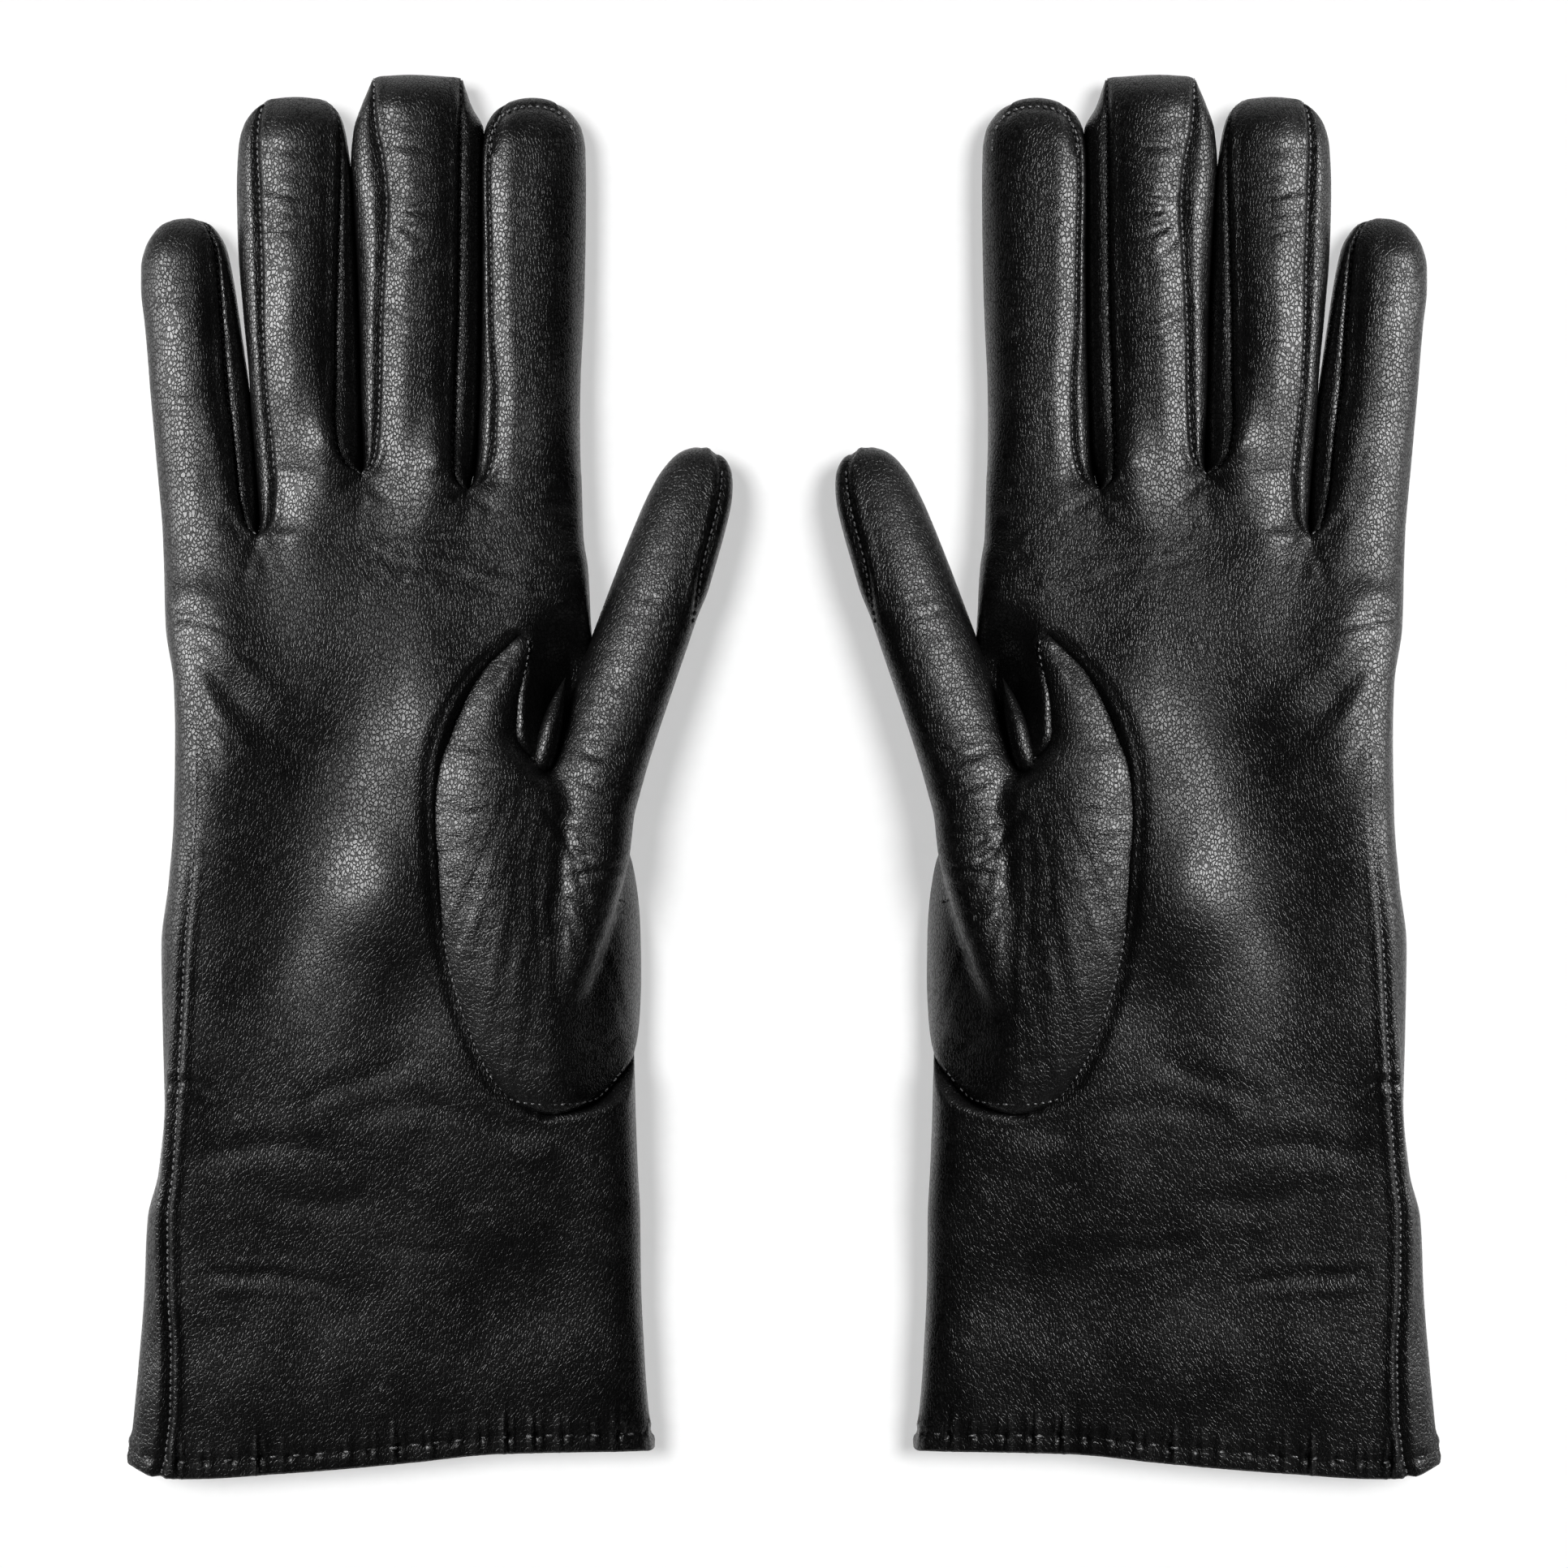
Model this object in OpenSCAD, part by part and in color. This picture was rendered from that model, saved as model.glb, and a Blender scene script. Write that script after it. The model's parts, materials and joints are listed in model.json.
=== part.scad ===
// Pair of plain leather dress gloves lying palm up, fingers along +Y, backs on the z = 0 plane.
// The left-hand glove stands at +X. The right-hand glove is its mirror image in the YZ plane.
// "Inner" is the thumb side, nearest X = 0, and "outer" is the little-finger side.

/* [Leather and lining] */
// Thickness of the glove leather
leather_t = 0.8; // [0.7:0.1:1.2]
// Thickness of the knitted lining
lining_t = 0.6; // [0.4:0.1:1.0]
// Free gap between the leather and what lies inside it
ply_gap = 0.3; // [0.25:0.05:0.4]

/* [Cuff] */
// Depth of the leather turned in at the hem
hem_depth = 11; // [8:1:14]
// Number of hand-made tacks along each face of the hem
tack_count = 17; // [9:1:21]
// Length of one tack
tack_l = 3.2; // [2.5:0.1:4]

/* [Joints] */
// Clearance between two segments at a bending crease
crease_gap = 0.3; // [0.2:0.05:0.4]

/* [Hidden] */
PIECES = [
    "trank", "hand_lining", "cuff_hem", "hem_tacks", "thumb_gusset",
    "thumb_base", "thumb_tip", "thumb_lining",
    "index_base", "index_tip", "index_fourchette_base", "index_fourchette_tip", "index_lining",
    "middle_base", "middle_tip", "middle_fourchettes_base", "middle_fourchettes_tip", "middle_lining",
    "ring_base", "ring_tip", "ring_fourchettes_base", "ring_fourchettes_tip", "ring_lining",
    "little_base", "little_tip", "little_fourchette_base", "little_fourchette_tip", "little_lining"
];

tack_w = 0.6;
tack_h = 0.4;
tack_proud = 0.1;    // how far a tack stands out of the leather
back_flat = 1.08;    // swell of the hand's back before it is cut flat where it lies
palm_power = 3;      // how square the hand's cross-section is
finger_power = 2.5;  // how square a finger's cross-section is
around = 16;         // facets round a finger or thumb
lining_in = leather_t + ply_gap;
lining_clear = 2;    // how far a lining stops short of a crease

// Hand outline by row: [y, inner edge x, outer edge x, thickness]. The inner edge steps back
// beside the thumb, where the thumb's gusset forms the edge of the glove.
hand_rows = [
    [-150.5, 29.5, 145.4, 17],
    [-139, 30.3, 144.2, 18],
    [-118, 31.3, 141.5, 19],
    [-94, 32.2, 139.4, 21],
    [-70, 33.5, 138.2, 23],
    [-58, 37.0, 137.4, 24],
    [-42, 45.5, 136.4, 25],
    [-26, 51.5, 135.6, 25.5],
    [-7, 57.5, 135.3, 25.5],
    [9, 56.0, 135.6, 25],
    [25, 50.0, 136.4, 23.5],
    [44, 45.2, 137.6, 21],
    [63, 45.0, 138.0, 19]
];
hem_drop = 5;                // how much further down the cuff reaches on the outer side
hem_slope = -hem_drop / (hand_rows[0][2] - hand_rows[0][1]);
knuckle_y = 63;              // crease of the index, middle and ring fingers
little_knuckle_y = 53;       // crease of the little finger
little_crotch = 0.769;       // gap between the ring and little fingers, as a share of the width
// Columns across the hand as shares of its width. Two lie either side of the little finger's crotch.
hand_columns = [0, .02, .07, .15, .27, .40, .52, .64, .766, .772, .85, .92, .97, 1];

// Thumb mouth: an oval hole on the edge of the palm, cut along a line tilted towards X = 0.
mouth_at = [67.5, -21, 14.5];
mouth_tilt = 45;
mouth_turn = 6;
mouth_half = [12.5, 53];
mouth_sink = 3;
mouth_clear = 0.25;

// Fingers by station: [y, centre x, half width, thickness, centre z]. The first three are the
// base segment, from knuckle to middle crease, and the rest the tip segment.
index_stations = [
    [63, 57.4, 12.0, 18.8, 9.4], [80, 56.5, 11.2, 18.5, 9.3], [96, 55.4, 10.8, 18, 9],
    [115, 55.0, 10.9, 17.5, 8.8], [133, 55.1, 10.8, 16.5, 8.4],
    [143, 55.2, 9.6, 14, 8.2], [148.4, 55.2, 6.6, 9, 8.2], [150, 55.2, 3, 3.6, 8.2]
];
middle_stations = [
    [63, 81.6, 11.4, 18.8, 9.4], [80, 81.5, 12.6, 19, 9.5], [98, 81.3, 14.0, 19, 9.5],
    [125, 81.2, 14.1, 18.6, 9.3], [141, 81.2, 12.6, 17, 8.9],
    [150, 81.3, 11.4, 13.6, 8.6], [154.3, 81.4, 9.4, 8.4, 8.6], [155.5, 81.4, 7, 3.6, 8.6]
];
ring_stations = [
    [63, 104.8, 11.0, 18.8, 9.4], [80, 106.5, 11.3, 18.6, 9.3], [97, 108.0, 11.7, 18.2, 9.1],
    [120, 108.6, 11.9, 17.6, 8.8], [136, 108.4, 11.4, 16.4, 8.5],
    [145, 108.3, 9.8, 13, 8.3], [149, 108, 7.4, 8, 8.3], [150.2, 107.9, 4.4, 3.6, 8.3]
];
little_stations = [
    [53, 127.8, 10.2, 18, 9], [66, 128.9, 10.2, 17.5, 8.8], [81, 130.4, 10.0, 17, 8.5],
    [97, 132.3, 9.9, 16.4, 8.2], [110, 133.1, 9.3, 15, 7.9],
    [118, 133.3, 7.9, 12, 7.8], [122.5, 133.2, 5.4, 7.4, 7.8], [123.8, 133.1, 2.8, 3.4, 7.8]
];
// Facets that are palm face and back face, counted round from the outer side over the palm.
PALM_FACE = [2, 5];
BACK_FACE = [10, 13];
INNER_SIDE = [6, 9];

// Thumb: axis from its root towards its tip, and stations
// [distance along, half width, thickness, centre z]. The first three are the base segment.
thumb_root = [44.9, -6.7];
thumb_lean = 19.6;
thumb_stations = [
    [14, 10.7, 19.6, 13.8], [24, 10.5, 19.1, 13.3], [38, 10.3, 18.4, 12.6],
    [54, 10.0, 17, 11.6], [68, 9.0, 15, 10.8],
    [77.5, 7.0, 11.6, 10.2], [82, 4.4, 7.2, 10], [83.6, 2, 3, 10]
];
// Thumb gusset between its mouth and the thumb, by ring: [centre, half width, half length as a
// vector, how far the palm side falls short of the rest]. All rings keep the mouth's cross axis.
gusset_rings = [
    [[52, -19, 26.8], 15, [8, 41, -1.3], 9],
    [[47.8, -18, 26.5], 16, [9.2, 24, -6.5], 6],
    [[46, -9, 20], 12.5, [9.5, 11, -9], 2]
];
gusset_around = 24;
collar_in = 2.5;     // how far the gusset's collar reaches in from the middle of the mouth
collar_out = 22;     // and out from it, at the wrist
palm_fall = 16;      // how much less far out it reaches on the palm
finger_fall = 7;     // and towards the fingers

// ---- Curves ----------------------------------------------------------------------------------
function power(v, e) = sign(v) * pow(abs(v), e);
function round_point(t, n) = [power(cos(t), 2 / n), power(sin(t), 2 / n)];

// Closed ring of `count` points in the plane of `across` and +Z, shrunk inwards by `inset`.
function ring_points(centre, across, half_w, half_h, n, count, inset) = [
    for (j = [0:count - 1])
        let (p = round_point(j * 360 / count, n))
        centre + across * max(half_w - inset, 0.4) * p[0] + [0, 0, max(half_h - inset, 0.4) * p[1]]
];

function row_at(y) =
    let (i = [for (k = [0:len(hand_rows) - 2]) if (y >= hand_rows[k][0] || k == 0) k])
    let (a = hand_rows[max(i)], b = hand_rows[max(i) + 1], f = (y - a[0]) / (b[0] - a[0]))
    a + (b - a) * f;

// Height of the hand's wall at a share `f` of its width, for a row and an inset. The palm is
// crowned, and the back is flat where it lies.
function hand_z(row, f, inset, palm) =
    let (q = abs(2 * f - 1), full = row[3] / 2 - inset)
    let (half = full * pow(max(1 - pow(q, palm_power), 0), 1 / palm_power))
    row[3] / 2 + (palm ? half : -min(half * back_flat, full));

function hand_end(f) = (f < little_crotch ? knuckle_y : little_knuckle_y) - crease_gap / 2;

// Closed ring round the hand. first and last say how the row meets the hem and the knuckles.
function hand_ring(row, inset, end_shift, first, last) =
    let (m = len(hand_columns) - 1)
    [for (k = [0:2 * m - 1])
        let (palm = k <= m, f = hand_columns[palm ? k : 2 * m - k],
             x = row[1] + inset + f * (row[2] - row[1] - 2 * inset),
             y = first ? row[0] + hem_slope * (x - row[1])
                 : last ? hand_end(f) - end_shift : row[0])
        [x, y, hand_z(row, f, inset, palm)]
    ];

// ---- Thin walls ------------------------------------------------------------------------------
// A wall between an outer and an inner set of rings. has(i, j) says which cells it has. A capped
// wall is closed across its last ring. `turn` is 1 where the rings run from +X over +Z.
module wall(outer, inner, has, capped = false, turn = 1) {
    m = len(outer);
    n = len(outer[0]);
    function o(i, j) = i * n + (j + n) % n;
    function k(i, j) = m * n + o(i, j);
    function cell(i, j) = i >= 0 && i < m - 1 && has(i, (j + n) % n);
    faces = [
        for (i = [0:m - 2]) for (j = [0:n - 1]) if (cell(i, j)) each [
            [o(i, j), o(i, j + 1), o(i + 1, j + 1), o(i + 1, j)],
            [k(i, j), k(i + 1, j), k(i + 1, j + 1), k(i, j + 1)],
            if (!cell(i - 1, j)) [o(i, j + 1), o(i, j), k(i, j), k(i, j + 1)],
            if (!cell(i, j + 1)) [o(i + 1, j + 1), o(i, j + 1), k(i, j + 1), k(i + 1, j + 1)],
            if (!cell(i + 1, j) && !(capped && i == m - 2))
                [o(i + 1, j), o(i + 1, j + 1), k(i + 1, j + 1), k(i + 1, j)],
            if (!cell(i, j - 1)) [o(i, j), o(i + 1, j), k(i + 1, j), k(i, j)]
        ],
        if (capped) each [
            [for (j = [0:n - 1]) o(m - 1, j)],
            [for (j = [n - 1:-1:0]) k(m - 1, j)]
        ]
    ];
    oriented = turn > 0 ? faces : [for (f = faces) [for (v = [len(f) - 1:-1:0]) f[v]]];
    polyhedron(points = [for (r = concat(outer, inner)) each r], faces = oriented);
}

function within(j, span) = j >= span[0] && j <= span[1];

// ---- Hand ------------------------------------------------------------------------------------
function hand_rings(rows, inset, end_shift) = [
    for (i = [0:len(rows) - 1])
        hand_ring(rows[i], inset, end_shift, i == 0, i == len(rows) - 1)
];

module thumb_mouth() {
    translate(mouth_at)
        rotate([0, -mouth_tilt, 0])
            rotate(-mouth_turn)
                scale([mouth_half[0], mouth_half[1], 1])
                    translate([0, 0, -mouth_sink]) cylinder(r = 1, h = 60, $fn = 40);
}

module hand_shell(rows, inset, thick, end_shift) {
    difference() {
        wall(hand_rings(rows, inset, end_shift), hand_rings(rows, inset + thick, end_shift),
             function(i, j) true, turn = -1);
        thumb_mouth();
    }
}

module trank() {
    color([0.05, 0.05, 0.05]) hand_shell(hand_rows, 0, leather_t, 0);
}

module hand_lining() {
    start = row_at(hand_rows[0][0] + hem_depth + 1) - [0, 0, 0, lining_in];
    rows = concat([start], [for (r = hand_rows) if (r[0] > start[0] + 2) r]);
    color([0.16, 0.16, 0.17]) hand_shell(rows, lining_in, lining_t, lining_clear);
}

module cuff_hem() {
    hem_in = lining_in + 0.2;
    function band(inset) = [
        for (y = [0.2, hem_depth]) hand_ring(row_at(hand_rows[0][0] + y), inset, 0, true, false)
    ];
    color([0.05, 0.05, 0.05])
        wall(band(hem_in), band(hem_in + lining_t), function(i, j) true, turn = -1);
}

// Hand-made tacks that hold the hem, sunk into the palm and back faces of the cuff.
module hem_tacks() {
    reach = [0.1, 0.9];
    color([0.09, 0.09, 0.09])
        for (i = [0:tack_count - 1])
            for (palm = [true, false]) {
                f = reach[0] + (reach[1] - reach[0]) * i / (tack_count - 1);
                row = row_at(hand_rows[0][0] + hem_depth / 2);
                x = row[1] + f * (row[2] - row[1]);
                z = hand_z(row, f, 0, palm);
                translate([x - tack_w / 2, row[0] + hem_slope * (x - row[1]) - tack_l / 2,
                           palm ? z + tack_proud - tack_h : max(z - tack_proud, 0)])
                    cube([tack_w, tack_l, tack_h]);
            }
}

// ---- Fingers ---------------------------------------------------------------------------------
function between(stations, y) =
    let (i = max([for (k = [0:len(stations) - 2]) if (y >= stations[k][0] || k == 0) k]))
    let (a = stations[i], b = stations[i + 1])
    a + (b - a) * (y - a[0]) / (b[0] - a[0]);

function finger_ring(s, inset) =
    ring_points([s[1], s[0], s[4]], [1, 0, 0], s[2], s[3] / 2, finger_power, around, inset);

// Stations of one segment: the base stops short of the middle crease, and the tip starts past it.
function base_stations(all) = [
    between(all, all[0][0] + crease_gap / 2), all[1], between(all, all[2][0] - crease_gap / 2)
];
function tip_stations(all) = concat(
    [between(all, all[2][0] + crease_gap / 2)], [for (i = [3:len(all) - 1]) all[i]]
);

// Inner rings of a closed tip are drawn back from the outer ones, so the wall keeps its thickness.
function drawn_back(stations, depth) = [
    for (i = [0:len(stations) - 1])
        let (s = stations[i], last = len(stations) - 1,
             back = i == last ? depth : i == last - 1 ? depth * 0.8 : i == last - 2 ? depth * 0.4 : 0)
        [s[0] - back, s[1], s[2], s[3], s[4]]
];

module finger_base(stations, has) {
    s = base_stations(stations);
    wall([for (r = s) finger_ring(r, 0)], [for (r = s) finger_ring(r, leather_t)],
         function(i, j) has(j));
}

// The side strips end before the last two rings, where the faces meet round the fingertip.
module finger_tip(stations, has, leather) {
    s = tip_stations(stations);
    last = len(s) - 1;
    inside = drawn_back(s, leather_t);
    wall([for (r = s) finger_ring(r, 0)], [for (r = inside) finger_ring(r, leather_t)],
         function(i, j) i >= last - 2 ? leather : has(j), capped = leather);
}

// One knitted tube from the knuckle to the fingertip.
module finger_lining(stations) {
    s = concat([between(stations, stations[0][0] + lining_clear)],
               [for (i = [1:len(stations) - 1]) stations[i]]);
    outer = drawn_back(s, leather_t + 2 * ply_gap);
    inner = drawn_back(s, leather_t + 2 * ply_gap + lining_t);
    color([0.16, 0.16, 0.17])
        wall([for (r = outer) finger_ring(r, lining_in)],
             [for (r = inner) finger_ring(r, lining_in + lining_t)],
             function(i, j) true, capped = true);
}

// Which facets are leather faces: the index's runs round its inner side and the little finger's
// round its outer side, and the middle and ring fingers have two separate faces.
function face_cells(finger) =
    finger == "index" ? function(j) j >= PALM_FACE[0] && j <= BACK_FACE[1]
    : finger == "little" ? function(j) !within(j, INNER_SIDE)
    : function(j) within(j, PALM_FACE) || within(j, BACK_FACE);

module finger_faces(stations, finger, segment) {
    has = face_cells(finger);
    color([0.05, 0.05, 0.05])
        if (segment == "base") finger_base(stations, has);
        else finger_tip(stations, has, true);
}

module finger_fourchettes(stations, finger, segment) {
    faces = face_cells(finger);
    color([0.06, 0.06, 0.06])
        if (segment == "base") finger_base(stations, function(j) !faces(j));
        else finger_tip(stations, function(j) !faces(j), false);
}

// ---- Thumb -----------------------------------------------------------------------------------
thumb_along = [-sin(thumb_lean), cos(thumb_lean), 0];
thumb_across = [cos(thumb_lean), sin(thumb_lean), 0];

function thumb_ring(s, inset) =
    ring_points([thumb_root[0], thumb_root[1], s[3]] + thumb_along * s[0], thumb_across,
                s[1], s[2] / 2, finger_power, around, inset);

function thumb_drawn_back(stations, depth) = [
    for (i = [0:len(stations) - 1])
        let (last = len(stations) - 1,
             back = i == last ? depth : i == last - 1 ? depth * 0.8 : i == last - 2 ? depth * 0.4 : 0)
        stations[i] - [back, 0, 0, 0]
];

module thumb_base() {
    s = base_stations(thumb_stations);
    color([0.05, 0.05, 0.05])
        wall([for (r = s) thumb_ring(r, 0)], [for (r = s) thumb_ring(r, leather_t)],
             function(i, j) true);
}

module thumb_tip() {
    s = tip_stations(thumb_stations);
    color([0.05, 0.05, 0.05])
        wall([for (r = s) thumb_ring(r, 0)],
             [for (r = thumb_drawn_back(s, leather_t)) thumb_ring(r, leather_t)],
             function(i, j) true, capped = true);
}

module thumb_lining() {
    s = concat([between(thumb_stations, thumb_stations[0][0] + lining_clear)],
               [for (i = [1:len(thumb_stations) - 1]) thumb_stations[i]]);
    depth = leather_t + 2 * ply_gap;
    color([0.16, 0.16, 0.17])
        wall([for (r = thumb_drawn_back(s, depth)) thumb_ring(r, lining_in)],
             [for (r = thumb_drawn_back(s, depth + lining_t)) thumb_ring(r, lining_in + lining_t)],
             function(i, j) true, capped = true);
}

// The thumb's broad base: a collar set in the oval mouth, then an elbow up to the thumb's root.
mouth_out = [-sin(mouth_tilt), 0, cos(mouth_tilt)];
mouth_side = [cos(mouth_tilt), 0, sin(mouth_tilt)];
mouth_u = mouth_side * cos(mouth_turn) - [0, sin(mouth_turn), 0];
mouth_v = mouth_side * sin(mouth_turn) + [0, cos(mouth_turn), 0];
function unit(v) = v / norm(v);
root_u = unit(mouth_side - thumb_along * (mouth_side * thumb_along));
root_v = cross(thumb_along, root_u);

function gusset_ring(centre, half_u, v, sag, inset, end_sag = 0) = [
    for (j = [0:gusset_around - 1])
        let (t = j * 360 / gusset_around)
        centre + half_u * (1 - inset / norm(half_u)) * cos(t)
            + v * (1 - inset / norm(v)) * sin(t)
            - mouth_out * (sag * pow((1 + cos(t)) / 2, 2) + end_sag * pow((1 + sin(t)) / 2, 2))
];

function collar_ring(out, inset, falls) =
    gusset_ring(mouth_at + mouth_out * out, mouth_u * (mouth_half[0] - mouth_clear),
                mouth_v * (mouth_half[1] - mouth_clear), falls ? palm_fall : 0, inset,
                falls ? finger_fall : 0);

function root_ring(inset) =
    let (s = thumb_stations[0])
    gusset_ring([thumb_root[0], thumb_root[1], s[3]] + thumb_along * (s[0] - crease_gap / 2),
                root_u * s[1], root_v * s[2] / 2, 0, inset);

function gusset_wall(inset) = concat(
    [collar_ring(-collar_in, inset, false), collar_ring(collar_out, inset, true)],
    [for (g = gusset_rings) gusset_ring(g[0], mouth_side * g[1], g[2], g[3], inset)],
    [root_ring(inset)]
);

module thumb_gusset() {
    color([0.05, 0.05, 0.05])
        wall(gusset_wall(0), gusset_wall(leather_t), function(i, j) true);
}

// ---- One glove -------------------------------------------------------------------------------
module piece(name) {
    if (name == "trank") trank();
    if (name == "hand_lining") hand_lining();
    if (name == "cuff_hem") cuff_hem();
    if (name == "hem_tacks") hem_tacks();
    if (name == "thumb_gusset") thumb_gusset();
    if (name == "thumb_base") thumb_base();
    if (name == "thumb_tip") thumb_tip();
    if (name == "thumb_lining") thumb_lining();
    fingers = [["index", index_stations, "fourchette"], ["middle", middle_stations, "fourchettes"],
               ["ring", ring_stations, "fourchettes"], ["little", little_stations, "fourchette"]];
    for (f = fingers) {
        if (name == str(f[0], "_lining")) finger_lining(f[1]);
        for (segment = ["base", "tip"]) {
            if (name == str(f[0], "_", segment)) finger_faces(f[1], f[0], segment);
            if (name == str(f[0], "_", f[2], "_", segment)) finger_fourchettes(f[1], f[0], segment);
        }
    }
}

for (name = PIECES) {
    piece(name);
    mirror([1, 0, 0]) piece(name);
}
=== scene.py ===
"""Looks of a pair of lined leather gloves lying palm up on a pale table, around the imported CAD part.

One left-hand glove is worked out in millimetres: x runs from the thumb side to the little finger,
y from the cuff to the fingertips and z up from the table. The right-hand glove is its mirror image.
"""

import json
import math

import bpy
import numpy as np
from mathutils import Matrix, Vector

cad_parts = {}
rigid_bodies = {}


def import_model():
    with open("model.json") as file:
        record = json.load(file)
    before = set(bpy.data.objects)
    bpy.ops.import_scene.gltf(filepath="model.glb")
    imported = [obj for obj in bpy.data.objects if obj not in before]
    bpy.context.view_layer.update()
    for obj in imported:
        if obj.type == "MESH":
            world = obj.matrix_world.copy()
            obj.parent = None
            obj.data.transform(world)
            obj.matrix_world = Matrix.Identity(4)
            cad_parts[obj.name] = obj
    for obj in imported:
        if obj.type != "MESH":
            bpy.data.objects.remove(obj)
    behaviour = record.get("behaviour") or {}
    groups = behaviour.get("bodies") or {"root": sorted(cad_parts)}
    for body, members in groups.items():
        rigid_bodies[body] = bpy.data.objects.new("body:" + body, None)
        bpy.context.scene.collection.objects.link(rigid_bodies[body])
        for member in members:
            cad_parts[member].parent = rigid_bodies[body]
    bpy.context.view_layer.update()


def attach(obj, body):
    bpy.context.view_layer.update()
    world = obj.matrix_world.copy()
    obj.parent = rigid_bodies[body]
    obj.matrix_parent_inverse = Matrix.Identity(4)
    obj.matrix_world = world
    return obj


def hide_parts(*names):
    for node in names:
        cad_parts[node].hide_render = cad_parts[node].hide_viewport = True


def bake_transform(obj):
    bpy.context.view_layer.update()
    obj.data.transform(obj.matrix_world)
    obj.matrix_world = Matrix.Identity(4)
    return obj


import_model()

MM = 0.001
SEED = 11
HANDS = {"left": 1, "right": -1}
FINGERS = ("index", "middle", "ring", "little")

# ------------------------------------------------------------------ the hand: rows up the glove
# y, thumb-side outline x, little-side outline x, thickness
HAND = [
    [-150.5, 29.0, 145.6, 15.5], [-142, 30.0, 144.6, 17.0], [-129, 31.0, 143.3, 18.5],
    [-115, 31.7, 142.0, 19.0], [-98, 31.9, 141.2, 20.5], [-88, 32.4, 138.7, 21.5],
    [-72, 33.0, 137.2, 23.0], [-55, 33.4, 137.6, 24.2], [-38, 33.6, 137.9, 25.0],
    [-24, 34.5, 136.3, 25.4], [-8, 37.5, 135.0, 25.5], [10, 40.5, 134.9, 25.0], [20, 42.0, 135.2, 24.2],
    [33, 42.7, 137.1, 22.8], [46, 43.6, 137.6, 21.2], [53, 44.6, 138.0, 20.2],
    [66.5, 45.0, 139.0, 19.0],
]
# x of the three lines that end in the finger crotches: index-middle, middle-ring, ring-little
LANE_LINES = [
    [[-150.5, 59.5], [-40, 64.0], [30, 68.5], [63, 70.0], [66.5, 70.0]],
    [[-150.5, 87.5], [-40, 88.0], [30, 92.0], [66.5, 93.4]],
    [[-150.5, 116.5], [-40, 114.0], [30, 115.8], [53, 116.6], [66.5, 116.6]],
]
CROTCH_Y = (63.0, 66.5, 53.0)
# the closing seam down the little-finger side of the cuff: y, x
SIDE_SEAM = [
    [-150.5, 138.2], [-145, 137.0], [-136, 136.0], [-125, 135.9], [-111, 136.6], [-98, 136.6],
    [-88, 135.4], [-76, 134.4], [-60, 133.6], [-40, 132.6], [-20, 130.6], [0, 129.6], [20, 130.0],
    [33, 131.4], [53, 133.0], [66.5, 134.0],
]
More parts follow.
